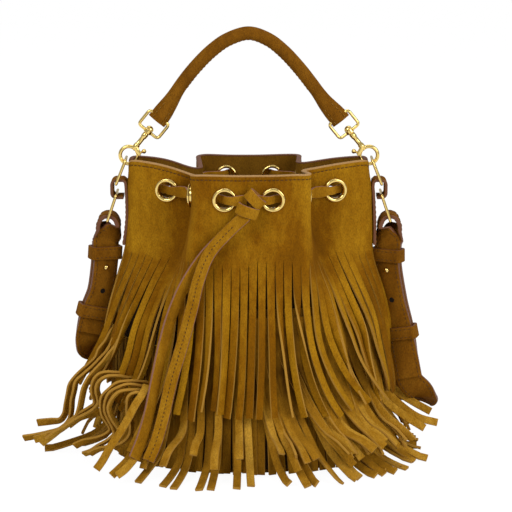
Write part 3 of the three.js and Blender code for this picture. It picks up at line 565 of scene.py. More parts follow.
@dataclass
class Finishes:
    """All the finishes of the bag, made once."""

    groups: ShaderGroups = field(default_factory=ShaderGroups)

    def __post_init__(self) -> None:
        """Makes each material."""
        groups = self.groups
        self.suede = SuedeFinish("mustard_suede", "835304", "432502", "ae7d14", 24.0, 0.7).make(groups)
        self.fringe = SuedeFinish("fringe_suede", "8f620a", "3e2402", "c69828", 45.0, 0.6).make(groups)
        ground = SuedeFinish("ground_fringe_suede", "a17118", "442803", "cf9f3a", 45.0, 0.6)
        self.ground_fringe = ground.make(groups)
        self.lace = SuedeFinish("lace_suede", "96660c", "50300a", "bb8a22", 60.0, 0.5).make(groups)
        self.inside = SuedeFinish("inner_suede", "7a5312", "3a2308", "94691c", 30.0, 0.4).make(groups)
        strap = SuedeFinish("strap_suede", "7a4c0b", "3c2206", "976518", 70.0, 0.5, relief=0.25)
        self.strap = strap.make(groups)
        self.cut = EdgeFinish("cut_edge", "744a16", 0.75, 0.15).make(groups)
        # Dark outer face of the lining: painted shade seen through the fringe's slits.
        self.hidden = EdgeFinish("hidden_wall", "33200a", 0.9, 0.2).make(groups)
        # Near-black disc colour: painted shadow inside the strap's spare hole.
        self.hole = EdgeFinish("strap_hole", "160c04", 0.9, 0.1).make(groups)
        # Cut edges of the fringe, lighter than its face: partly the cut leather's own colour, partly a painted
        # highlight where edges catch light.
        self.fringe_cut = EdgeFinish("fringe_edge", "a97c2a", 0.8, 0.2).make(groups)
        self.lace_cut = EdgeFinish("lace_edge", "8e6250", 0.7, 0.15).make(groups)
        self.painted = EdgeFinish("painted_edge", "6a4026", 0.35, 0.06).make(groups)
        # Lighter copy of the edge paint for the front half of the rim: a painted highlight.
        self.rim_paint = EdgeFinish("rim_edge_paint", "ab824c", 0.5, 0.06).make(groups)
        self.thread = EdgeFinish("thread", "8a5f16", 0.55, 0.05).make(groups)
        self.dark_thread = EdgeFinish("dark_thread", "553409", 0.6, 0.05).make(groups)
        self.gold = MetalFinish("polished_gold", "ebcd7c", 0.1, 0.12).make(groups)


# Mesh making


def set_attribute(mesh: bpy.types.Mesh, label: str, values: Array) -> None:
    """Gives each vertex of a mesh a named number or vector.

    Args:
        mesh: The mesh.
        label: Name of the attribute.
        values: A number or a vector for each vertex.
    """
    values = np.asarray(values, np.float32)
    kind, key = ("FLOAT_VECTOR", "vector") if values.ndim > 1 else ("FLOAT", "value")
    mesh.attributes.new(label, kind, "POINT").data.foreach_set(key, values.ravel())


def make_piece(name: str, points: Array, faces: Sequence[Sequence[int]], materials: Sequence[Material],
               indices: Sequence[int] | None = None, sharp: float = 42.0, shade: Array | None = None,
               ) -> Piece:
    """Makes an object from points in millimetres.

    Args:
        name: Name of the piece.
        points: Vertices.
        faces: Vertex numbers of each face.
        materials: Materials in slot order.
        indices: Material slot of each face.
        sharp: Angle in degrees above which an edge is crisp.
        shade: Shade of each vertex, for the suede finishes: random tone and painted light and shade.

    Returns:
        The object, linked to the scene.
    """
    mesh = bpy.data.meshes.new(name)
    mesh.from_pydata((np.asarray(points) * MM).tolist(), [], [list(f) for f in faces])
    for material in materials:
        mesh.materials.append(material)
    if indices is not None:
        mesh.polygons.foreach_set("material_index", np.asarray(indices, np.int32))
    if shade is not None:
        set_attribute(mesh, "shade", shade)
    mesh.validate()
    mesh.shade_smooth()
    mesh.set_sharp_from_angle(angle=math.radians(sharp))
    mesh.update()
    piece = bpy.data.objects.new(name, mesh)
    bpy.context.scene.collection.objects.link(piece)
    return piece


def settle(piece: Piece, body: str, slot: Slot, nodes: Iterable[str] = ()) -> Piece:
    """Puts a piece on its body and hides the solids that it stands for.

    Args:
        piece: Finished piece.
        body: Body that it moves with.
        slot: Material slot that it takes its finish from; not used.
        nodes: Solids that it replaces.

    Returns:
        The piece.
    """
    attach(piece, body)
    nodes = list(nodes)
    if nodes:
        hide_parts(*nodes)
    LOG.info("%s: %d faces on %s", piece.name, len(piece.data.polygons), body)
    return piece


class MeshParts:
    """Collects closed shapes that make up one piece."""

    def __init__(self) -> None:
        """Starts with nothing."""
        self.points: list[Array] = []
        self.faces: list[list[int]] = []
        self.count = 0

    def add(self, points: Array, faces: Iterable[Sequence[int]]) -> None:
        """Adds a shape.

        Args:
            points: Vertices in millimetres.
            faces: Vertex numbers of each face, from 0.
        """
        points = np.asarray(points, float).reshape(-1, 3)
        faces = [list(f) for f in faces]
        volume = sum(
            float(np.dot(points[f[0]], np.cross(points[f[i]], points[f[i + 1]])))
            for f in faces
            for i in range(1, len(f) - 1)
        )
        if volume < 0:
            faces = [f[::-1] for f in faces]
        self.faces.extend([[i + self.count for i in f] for f in faces])
        self.points.append(points)
        self.count += len(points)

    def sweep(self, line: Array, looks: Array, half_width: Array | float, half_depth: Array | float,
              sides: int = 16, closed: bool = False) -> None:
        """Adds a bar of oval section along a line.

        Args:
            line: Points of the middle line.
            looks: Direction of the section's depth at each point.
            half_width: Half the section across the depth, at each point.
            half_depth: Half the section along the depth, at each point.
            sides: Sides of the section.
            closed: Whether the line is a loop.
        """
        line = np.asarray(line, float)
        along = tangents(line, closed)
        out = squared(along, np.broadcast_to(np.asarray(looks, float), line.shape))
        across = np.cross(along, out)
        angle = np.arange(sides) / sides * 2 * math.pi
        wide = np.broadcast_to(np.asarray(half_width, float), len(line))[:, None, None]
        deep = np.broadcast_to(np.asarray(half_depth, float), len(line))[:, None, None]
        rings = (
            line[:, None]
            + across[:, None] * wide * np.cos(angle)[None, :, None]
            + out[:, None] * deep * np.sin(angle)[None, :, None]
        )
        self.rings(rings, closed)

    def rings(self, rings: Array, closed: bool = False) -> None:
        """Adds a shape through rings of points.

        Args:
            rings: Points by ring and side.
            closed: Whether the last ring joins the first.
        """
        count, sides = rings.shape[:2]
        faces = []
        for i in range(count if closed else count - 1):
            here, there = i * sides, ((i + 1) % count) * sides
            for j in range(sides):
                k = (j + 1) % sides
                faces.append([here + j, here + k, there + k, there + j])
        if not closed:
            faces.append(list(range(sides))[::-1])
            faces.append([(count - 1) * sides + j for j in range(sides)])
        self.add(rings.reshape(-1, 3), faces)

    def lathe(self, profile: Stops, origin: Sequence[float], axis: Sequence[float],
              segments: int = 32, closed: bool = False) -> None:
        """Adds a round shape turned about an axis.

        Args:
            profile: Radius and distance along the axis of each point.
            origin: Start of the axis.
            axis: Direction of the axis.
            segments: Steps round the axis.
            closed: Whether the profile is a closed outline, as on a ring.
        """
        axis = unit(np.asarray(axis, float))
        side = unit(np.cross(axis, [0.31, 0.77, 0.55]))
        other = np.cross(axis, side)
        angle = np.arange(segments) / segments * 2 * math.pi
        turn = side[None] * np.cos(angle)[:, None] + other[None] * np.sin(angle)[:, None]
        rings = np.stack(
            [np.asarray(origin, float) + axis * a + turn * max(r, 1e-4) for r, a in profile]
        )
        self.rings(rings, closed)

    def piece(self, name: str, material: Material, sharp: float = 42.0) -> Piece:
        """Makes the piece, with edges above an angle in degrees kept crisp."""
        return make_piece(name, np.vstack(self.points), self.faces, [material], sharp=sharp)


class SheetParts:
    """Collects quads of a sheet, each vertex with an outer and an inner point."""

    def __init__(self) -> None:
        """Starts with nothing."""
        self.outer: list[Array] = []
        self.inner: list[Array] = []
        self.shade: list[float] = []
        self.cells: list[tuple[int, int, int, int]] = []

    def row(self, outer: Array, inner: Array, shade: float | Array = 0.0) -> list[int]:
        """Adds a row of vertices.

        Args:
            outer: Points of the outer face.
            inner: Points of the inner face.
            shade: Shade of the row.

        Returns:
            The new vertices' numbers.
        """
        first = len(self.outer)
        self.outer.extend(outer)
        self.inner.extend(inner)
        self.shade.extend(np.broadcast_to(shade, len(outer)).tolist())
        return list(range(first, len(self.outer)))

    def join(self, upper: Sequence[int], lower: Sequence[int]) -> None:
        """Joins two rows of the same length by quads."""
        for i in range(len(upper) - 1):
            self.cells.append((upper[i], lower[i], lower[i + 1], upper[i + 1]))

    def cut(self, centres: Array, radius: float) -> None:
        """Drops the quads that reach into round holes.

        Args:
            centres: Middle of each hole.
            radius: Radius of the holes in millimetres.
        """
        middle = (np.asarray(self.outer) + np.asarray(self.inner)) / 2
        apart = np.min(np.linalg.norm(middle[:, None] - centres[None], axis=2), axis=1)
        self.cells = [cell for cell in self.cells if (apart[list(cell)] > radius).all()]

    def piece(self, name: str, materials: Sequence[Material]) -> Piece:
        """Makes the piece, with walls round its free edges.

        Args:
            name: Name of the piece.
            materials: Finishes of the outer face, the inner face and the edges.

        Returns:
            The object.
        """
        count = len(self.outer)
        edges: dict[tuple[int, int], bool] = {}
        faces, indices = [], []
        for cell in self.cells:
            faces.append(list(cell))
            faces.append([i + count for i in cell[::-1]])
            indices.extend([0, 1])
            for a, b in zip(cell, cell[1:] + cell[:1]):
                if edges.pop((b, a), None) is None:
                    edges[(a, b)] = True
        for a, b in edges:
            faces.append([b, a, a + count, b + count])
            indices.append(2)
        points = np.vstack([np.asarray(self.outer), np.asarray(self.inner)])
        return make_piece(name, points, faces, materials, indices, 50.0, np.tile(self.shade, 2))


# Geometry Nodes


class NodeMaker:
    """Builds a Geometry Nodes tree and turns its result into a plain mesh."""

    def __init__(self, name: str, inputs: Sequence[tuple[str, str]]) -> None:
        """Starts a tree.

        Args:
            name: Name of the tree.
            inputs: Name and socket type of each input after the geometry.
        """
        self.tree = bpy.data.node_groups.new(name, "GeometryNodeTree")
        face = self.tree.interface
        face.new_socket(name="Lines", in_out="INPUT", socket_type="NodeSocketGeometry")
        self.sockets = {
            label: face.new_socket(name=label, in_out="INPUT", socket_type=kind).identifier
            for label, kind in inputs
        }
        face.new_socket(name="Piece", in_out="OUTPUT", socket_type="NodeSocketGeometry")
        self.given = self.node("NodeGroupInput")
        self.result = add_node(self.tree, "NodeGroupOutput")

    def node(self, kind: str, inputs: Inputs | None = None, **settings: object) -> bpy.types.NodeOutputs:
        """Adds a node to the tree and gives its outputs."""
        return add_node(self.tree, kind, inputs, **settings).outputs

    def attribute(self, label: str, kind: str) -> Socket:
        """Reads a named attribute of a data type and gives its socket."""
        return self.node("GeometryNodeInputNamedAttribute", {"Name": label}, data_type=kind)["Attribute"]

    def dressed(self, geometry: Socket, material: Socket) -> Socket:
        """Makes copies real and gives them a finish."""
        real = self.node("GeometryNodeRealizeInstances", {"Geometry": geometry})["Geometry"]
        return self.node("GeometryNodeSetMaterial", {"Geometry": real, "Material": material})["Geometry"]

    def finish(self, geometry: Socket) -> None:
        """Puts out the piece."""
        feed(self.tree, self.result, {"Piece": geometry})

    def apply(self, name: str, mesh: bpy.types.Mesh, values: dict[str, object],
              sharp: float = 45.0) -> Piece:
        """Runs the tree on a mesh.

        Args:
            name: Name of the piece.
            mesh: Mesh that the tree starts from.
            values: Value of each named input.
            sharp: Angle in degrees above which an edge is crisp.

        Returns:
            The piece as a plain mesh object.
        """
        piece = bpy.data.objects.new(name, mesh)
        bpy.context.scene.collection.objects.link(piece)
        modifier = piece.modifiers.new("maker", "NODES")
        modifier.node_group = self.tree
        for label, value in values.items():
            modifier[self.sockets[label]] = value
        graph = bpy.context.evaluated_depsgraph_get()
        result = bpy.data.meshes.new_from_object(
            piece.evaluated_get(graph), preserve_all_data_layers=True, depsgraph=graph
        )
        piece.modifiers.remove(modifier)
        piece.data = result
        result.name = name
        result.shade_smooth()
        result.set_sharp_from_angle(angle=math.radians(sharp))
        return piece


@dataclass
class Lines:
    """Guide lines for strips and stitches: points, the way the face looks, and a shade for each line."""

    points: list[Array] = field(default_factory=list)
    looks: list[Array] = field(default_factory=list)
    shades: list[Array] = field(default_factory=list)
    breadths: list[Array] = field(default_factory=list)
    loops: list[bool] = field(default_factory=list)

    def add(self, points: Array, looks: Array, shade: Array | float = 0.0, breadth: Array | float = 1.0,
            loop: bool = False) -> None:
        """Adds a line.

        Args:
            points: Points in millimetres.
            looks: The way the outer face looks at each point.
            shade: Shade of the strip, or of each of its points.
            breadth: Scale of the section at each point.
            loop: Whether the line is closed.
        """
        points = np.asarray(points, float)
        looks = squared(tangents(points, loop), np.broadcast_to(np.asarray(looks, float), points.shape))
        self.points.append(points)
        self.looks.append(looks)
        self.shades.append(np.broadcast_to(np.asarray(shade, float), len(points)))
        self.breadths.append(np.broadcast_to(np.asarray(breadth, float), len(points)))
        self.loops.append(loop)

    def mesh(self, name: str) -> bpy.types.Mesh:
        """Turns the lines into edges with attributes.

        Args:
            name: Name of the mesh.

        Returns:
            The mesh.
        """
        edges, first = [], 0
        for line, loop in zip(self.points, self.loops):
            edges.extend((first + i, first + i + 1) for i in range(len(line) - 1))
            if loop:
                edges.append((first + len(line) - 1, first))
            first += len(line)
        mesh = bpy.data.meshes.new(name)
        mesh.from_pydata((np.vstack(self.points) * MM).tolist(), edges, [])
        set_attribute(mesh, "face", np.vstack(self.looks))
        set_attribute(mesh, "breadth", np.concatenate(self.breadths))
        set_attribute(mesh, "shade", np.concatenate(self.shades))
        return mesh


class StripMaker(NodeMaker):
    """Flat strips along guide lines, with their cut edges in a finish of their own."""

    edge_lean: float = 0.5

    def __init__(self) -> None:
        """Builds the tree."""
        super().__init__(
            "flat_strips",
            (
                ("Width", "NodeSocketFloat"),
                ("Thickness", "NodeSocketFloat"),
                ("Rounding", "NodeSocketFloat"),
                ("Face", "NodeSocketMaterial"),
                ("Edge", "NodeSocketMaterial"),
            ),
        )
        given, facing = self.given, self.attribute("face", "FLOAT_VECTOR")
        curve = self.node("GeometryNodeMeshToCurve", {"Mesh": given["Lines"]})["Curve"]
        faced_line = {"Curve": curve, "Normal": facing}
        turned = self.node("GeometryNodeSetCurveNormal", faced_line, mode="FREE")["Curve"]
        sizes = {"Width": given["Thickness"], "Height": given["Width"]}
        section = self.node("GeometryNodeCurvePrimitiveQuadrilateral", sizes, mode="RECTANGLE")["Curve"]
        corners = {"Curve": section, "Radius": given["Rounding"], "Count": 2}
        rounded = self.node("GeometryNodeFilletCurve", corners, mode="POLY")["Curve"]
        swept = self.node("GeometryNodeCurveToMesh", {
            "Curve": turned,
            "Profile Curve": rounded,
            "Scale": self.attribute("breadth", "FLOAT"),
            "Fill Caps": True,
        })["Mesh"]
        faced = self.dressed(swept, given["Face"])
        normal = self.node("GeometryNodeInputNormal")["Normal"]
        lean = self.node("ShaderNodeVectorMath", {0: normal, 1: facing}, operation="DOT_PRODUCT")["Value"]
        leans = {"A": maths(self.tree, "ABSOLUTE", lean), "B": self.edge_lean}
        aside = self.node("FunctionNodeCompare", leans, data_type="FLOAT", operation="LESS_THAN")["Result"]
        edges = {"Geometry": faced, "Selection": aside, "Material": given["Edge"]}
        self.finish(self.node("GeometryNodeSetMaterial", edges)["Geometry"])

    def make(self, name: str, lines: Lines, width: float, thickness: float, face: Material,
             edge: Material, rounding: float = 0.35) -> Piece:
        """Makes strips.

        Args:
            name: Name of the piece.
            lines: Guide lines.
            width: Width in millimetres.
            thickness: Thickness in millimetres.
            face: Finish of the faces.
            edge: Finish of the cut edges.
            rounding: Rounding of the edges in millimetres.

        Returns:
            The piece.
        """
        values = {
            "Width": width * MM,
            "Thickness": thickness * MM,
            "Rounding": rounding * MM,
            "Face": face,
            "Edge": edge,
        }
        return self.apply(name, lines.mesh(name), values)


class StitchMaker(NodeMaker):
    """Stitches laid along guide lines on a surface."""

    def __init__(self) -> None:
        """Builds the tree."""
        super().__init__(
            "stitches",
            (
                ("Spacing", "NodeSocketFloat"),
                ("Length", "NodeSocketFloat"),
                ("Breadth", "NodeSocketFloat"),
                ("Thread", "NodeSocketMaterial"),
            ),
        )
        given = self.given
        curve = self.node("GeometryNodeMeshToCurve", {"Mesh": given["Lines"]})["Curve"]
        spaced = {"Curve": curve, "Length": given["Spacing"]}
        points = self.node("GeometryNodeCurveToPoints", spaced, mode="LENGTH")
        axes = {"Primary Axis": points["Tangent"], "Secondary Axis": self.attribute("face", "FLOAT_VECTOR")}
        turn = self.node("FunctionNodeAxesToRotation", axes, primary_axis="Z", secondary_axis="X")["Rotation"]
        bead = self.node("GeometryNodeMeshUVSphere", {"Segments": 6, "Rings": 4, "Radius": 0.5})["Mesh"]
        size = {"X": given["Breadth"], "Y": given["Breadth"], "Z": given["Length"]}
        laid = self.node("GeometryNodeInstanceOnPoints", {
            "Points": points["Points"],
            "Instance": bead,
            "Rotation": turn,
            "Scale": self.node("ShaderNodeCombineXYZ", size)["Vector"],
        })["Instances"]
        self.finish(self.dressed(laid, given["Thread"]))

    def make(self, name: str, lines: Lines, thread: Material, spacing: float = 3.4,
             length: float = 2.7, breadth: float = 0.75) -> Piece:
        """Makes stitches.

        Args:
            name: Name of the piece.
            lines: Sewing lines.
            thread: Finish of the thread.
            spacing: Distance from stitch to stitch in millimetres.
            length: Length of a stitch in millimetres.
            breadth: Thickness of the thread in millimetres.

        Returns:
            The piece.
        """
        values = {
            "Spacing": spacing * MM,
            "Length": length * MM,
            "Breadth": breadth * MM,
            "Thread": thread,
        }
        return self.apply(name, lines.mesh(name), values, 180.0)


class FittingMaker(NodeMaker):
    """Copies of one fitting, set on points and turned to look along each point's facing."""

    def __init__(self) -> None:
        """Builds the tree."""
        super().__init__("set_fittings", (("Fitting", "NodeSocketObject"), ("Metal", "NodeSocketMaterial")))
        given = self.given
        source = {"Object": given["Fitting"]}
        pattern = self.node("GeometryNodeObjectInfo", source, transform_space="ORIGINAL")
        axes = {"Primary Axis": self.attribute("face", "FLOAT_VECTOR"), "Secondary Axis": (0.0, 0.0, 1.0)}
        turn = self.node("FunctionNodeAxesToRotation", axes, primary_axis="Z", secondary_axis="X")["Rotation"]
        places = {"Points": given["Lines"], "Instance": pattern["Geometry"], "Rotation": turn}
        laid = self.node("GeometryNodeInstanceOnPoints", places)["Instances"]
        self.finish(self.dressed(laid, given["Metal"]))

    def make(self, name: str, places: Array, looks: Array, fitting: Piece,
             metal: Material) -> Piece:
        """Sets fittings.

        Args:
            name: Name of the piece.
            places: Point of each fitting in millimetres.
            looks: The way each fitting looks.
            fitting: Pattern object, which is removed afterwards.
            metal: Finish.

        Returns:
            The piece.
        """
        mesh = bpy.data.meshes.new(name)
        mesh.from_pydata((np.asarray(places) * MM).tolist(), [], [])
        set_attribute(mesh, "face", looks)
        piece = self.apply(name, mesh, {"Fitting": fitting, "Metal": metal})
        bpy.data.objects.remove(fitting)
        return piece


# Body


@dataclass
class BodySurface:
    """The bag's wall: an oval base that gathers upwards into a pleated mouth.

    A place is a share t of the way round from the middle of the front towards +X, a height
    and an offset outwards from the seam between lining and skin.
    """

    rim_height: float = 222.0
    base_half: Pair = (93.0, 64.0)
    gather_foot: float = 95.0
    gather_top: float = 195.0
    front_face_y: float = -52.0
    front_fold_x: float = 47.0
    front_valley: Pair = (41.0, -19.0)
    side_x: float = 86.5
    side_half: float = 8.0
    back_valley: Pair = (36.0, 15.0)
    back_fold_x: float = 39.0
    back_face_y: float = 46.0
    fold_rounding: float = 8.0
    side_rounding: float = 4.0
    corner_rise: float = 2.5
    valley_dip: float = 3.0
    valley_dip_left: float = 7.5
    back_valley_dip_left: float = 7.0
    front_sag: float = 1.8
    side_notch: float = 8.0
    side_bulge: float = 2.2
    fold_slide: Table = ((-52.0, 18.0, 6.0), (48.0, 14.0, -2.5))
    back_dip: float = 3.6
    skin: float = 1.6
    lining: float = 1.4
    ply_gap: float = 0.4

    def __post_init__(self) -> None:
        """Draws the mouth's and the base's half outlines as tables by length."""
        stops = [
            ((0.0, self.front_face_y), 0.0),
            ((self.front_fold_x, self.front_face_y), self.fold_rounding),
            (self.front_valley, self.fold_rounding),
            ((self.side_x, -self.side_half), self.side_rounding),
            ((self.side_x, self.side_half), self.side_rounding),
            (self.back_valley, self.fold_rounding),
            ((self.back_fold_x, self.back_face_y), self.fold_rounding),
            ((0.0, self.back_face_y), 0.0),
        ]
        line = [np.array([stops[0][0]])]
        for (before, _), (here, rounding), (after, _) in zip(stops, stops[1:], stops[2:]):
            line.append(rounded_corner(np.array(before), np.array(here), np.array(after), rounding, 24))
        line.append(np.array([stops[-1][0]]))
        self.mouth_share, self.mouth = self._table(np.vstack(line))
        angle = np.linspace(-math.pi / 2, math.pi / 2, 600)
        oval = np.stack([self.base_half[0] * np.cos(angle), self.base_half[1] * np.sin(angle)], axis=1)
        self.base_share, self.base = self._table(oval)
        self.side_share = self._near(self.side_x, 0.0)
        around = self.plan(np.linspace(0, 1, 801), 0.0)
        self.girth = float(run_along(around)[-1])
        self.valleys = (self.round_share(*self.front_valley), self.round_share(*self.back_valley))
        self.front_fold = self.round_share(self.front_fold_x, self.front_face_y)

    @staticmethod
    def _table(line: Array) -> tuple[Array, Array]:
        """Pairs each point of a line with its share of the length."""
        run = run_along(line)
        return run / run[-1], line

    def _near(self, x: float, y: float) -> float:
        """Share of the mouth's half outline nearest to a plan point.

        Args:
            x: Place from left to right.
            y: Place from front to back.

        Returns:
            The share.
        """
        fine = np.linspace(0, 1, 4001)
        points = np.stack([np.interp(fine, self.mouth_share, self.mouth[:, i]) for i in (0, 1)], axis=1)
        return float(fine[np.argmin(np.linalg.norm(points - [x, y], axis=1))])

    def round_share(self, x: float, y: float) -> float:
        """Share of the way round for a plan point of the mouth's right half.

        Args:
            x: Place from left to right.
            y: Place from front to back.

        Returns:
            The share.
        """
        share = self._near(x, y)
        if share <= self.side_share:
            return 0.25 * share / self.side_share
        return 0.25 + 0.25 * (share - self.side_share) / (1 - self.side_share)

    @staticmethod
    def _turn(t: Array) -> tuple[Array, Array]:
        """Share of one whole turn, and share of it from the front on either side."""
        turn = np.asarray(t, float) - np.floor(t)
        return turn, np.where(turn <= 0.5, turn, 1 - turn)

    def plan(self, t: Array, gather: Array | float) -> Array:
        """Plan points between the base oval and the mouth.

        Args:
            t: Shares of the way round.
            gather: 0 at the base oval and 1 at the mouth.

        Returns:
            Points as x and y.
        """
        turn, half = self._turn(t)
        share = np.where(
            half <= 0.25,
            half / 0.25 * self.side_share,
            self.side_share + (half - 0.25) / 0.25 * (1 - self.side_share),
        )
        mouth = np.stack([np.interp(share, self.mouth_share, self.mouth[:, i]) for i in (0, 1)], axis=-1)
        base = np.stack([np.interp(half / 0.5, self.base_share, self.base[:, i]) for i in (0, 1)], axis=-1)
        point = base + (mouth - base) * np.asarray(gather, float)[..., None]
        point[..., 0] = np.where(turn > 0.5, -point[..., 0], point[..., 0])
        formed = smoothstep(-point[..., 1], 0, 14) * np.asarray(gather, float) ** 3
        return point + np.stack([formed * self._slide(point[..., 0]), np.zeros(turn.shape)], axis=-1)

    def _slide(self, x: Array) -> Array:
        """How far the front folds are pulled along by the drawstring."""
        return sum(far * hump(x, place, spread) for place, spread, far in self.fold_slide)

    def gather(self, z: Array) -> Array:
        """How far the pleats are formed at a height."""
        return smoothstep(z, self.gather_foot, self.gather_top)

    def normal(self, t: Array, z: Array) -> Array:
        """Level outward directions.

        Args:
            t: Shares of the way round.
            z: Heights.

        Returns:
            A direction for each place.
        """
        t, z = np.broadcast_arrays(np.asarray(t, float), np.asarray(z, float))
        step = 0.004
        gather = self.gather(z)
        along = self.plan(t + step, gather) - self.plan(t - step, gather)
        return unit(np.stack([along[..., 1], -along[..., 0], np.zeros(t.shape)], axis=-1))

    def rumple(self, t: Array, z: Array) -> Array:
        """Soft unevenness of the hide.

        Args:
            t: Shares of the way round.
            z: Heights.

        Returns:
            Millimetres outwards at each place.
        """
        turn = 2 * math.pi * np.asarray(t, float)
        slow = np.sin(5 * turn + z / 23.0) * np.sin(z / 31.0 + 2 * np.cos(3 * turn))
        quick = np.sin(13 * turn - z / 11.0) * np.sin(z / 17.0 + 4 * turn)
        drape = np.sin(11 * turn + 0.8 + z / 60.0) + 0.5 * np.sin(19 * turn + 2.0 - z / 40.0)
        pulled = smoothstep(z, 130, 185) * (1 - 0.85 * smoothstep(z, 196, self.rim_height - 4))
        sides = hump(np.abs(np.sin(turn)), 1, 0.12) * (1 - 0.7 * smoothstep(z, 200, self.rim_height))
        return 0.6 * slow + 0.3 * quick + 1.0 * drape * pulled + self.side_bulge * sides

    def wall(self, t: Array, z: Array, offset: Array | float) -> Array:
        """Points of the body.

        Args:
            t: Shares of the way round.
            z: Heights.
            offset: Offsets outwards.

        Returns:
            Points as x, y and z.
        """
        t, z = np.broadcast_arrays(np.asarray(t, float), np.asarray(z, float))
        plan = self.plan(t, self.gather(z))
        point = np.concatenate([plan, z[..., None]], axis=-1)
        offset = np.asarray(offset, float) + self.rumple(t, z)
        return point + self.normal(t, z) * np.broadcast_to(offset, t.shape)[..., None]

    def rim(self, t: Array) -> Array:
        """Height of the rim.

        Args:
            t: Shares of the way round.

        Returns:
            A height for each share.
        """
        turn, half = self._turn(t)
        front_dip = np.where(turn <= 0.5, self.valley_dip, self.valley_dip_left)
        back_dip = np.where(turn <= 0.5, self.valley_dip, self.back_valley_dip_left)
        return (
            self.rim_height
            + self.corner_rise * hump(half, 0.25, 0.06)
            - front_dip * hump(half, self.valleys[0], 0.04)
            - back_dip * hump(half, self.valleys[1], 0.04)
            - self.front_sag * hump(half, 0.0, 0.09)
            - self.side_notch * hump(half, 0.25, 0.009)
            - self.back_dip * hump(half, 0.5, 0.12)
        )

    @property
    def skin_faces(self) -> Pair:
        """Offsets of the skin's inner and outer face."""
        return self.ply_gap / 2, self.ply_gap / 2 + self.skin

    @property
    def lining_faces(self) -> Pair:
        """Offsets of the lining's inner and outer face."""
        return -self.ply_gap / 2 - self.lining, -self.ply_gap / 2


@dataclass
class EyeletRow:
    """The twelve eyelets under the rim, as places on the wall."""

    surface: BodySurface
    height: float = 203.0
    pair: float = 35.0
    wing_x: float = 64.0
    hole: float = 6.0
    barrel: float = 6.8
    flange: float = 9.0

    def __post_init__(self) -> None:
        """Finds each eyelet's share of the way round."""
        s = self.surface
        front_fold, back_fold = (s.front_fold_x, s.front_face_y), (s.back_fold_x, s.back_face_y)
        plans = (
            (self.pair / 2, s.front_face_y),
            tuple(np.add(front_fold, s.front_valley) / 2),
            self._wing(s.front_valley, -s.side_half),
            self._wing(s.back_valley, s.side_half),
            tuple(np.add(back_fold, s.back_valley) / 2),
            (self.pair / 2, s.back_face_y),
        )
        right = [s.round_share(*plan) for plan in plans]
        self.places = np.array(right + [1 - t for t in reversed(right)])

    def _wing(self, valley: Pair, side_y: float) -> Pair:
        """Plan point of a wing's eyelet."""
        share = (self.wing_x - valley[0]) / (self.surface.side_x - valley[0])
        return self.wing_x, valley[1] + share * (side_y - valley[1])

    def centres(self, offset: float) -> Array:
        """Middle of each eyelet at an offset from the seam."""
        return self.surface.wall(self.places, self.height, offset)

    def normals(self) -> Array:
        """The way each eyelet looks."""
        return self.surface.normal(self.places, self.height)


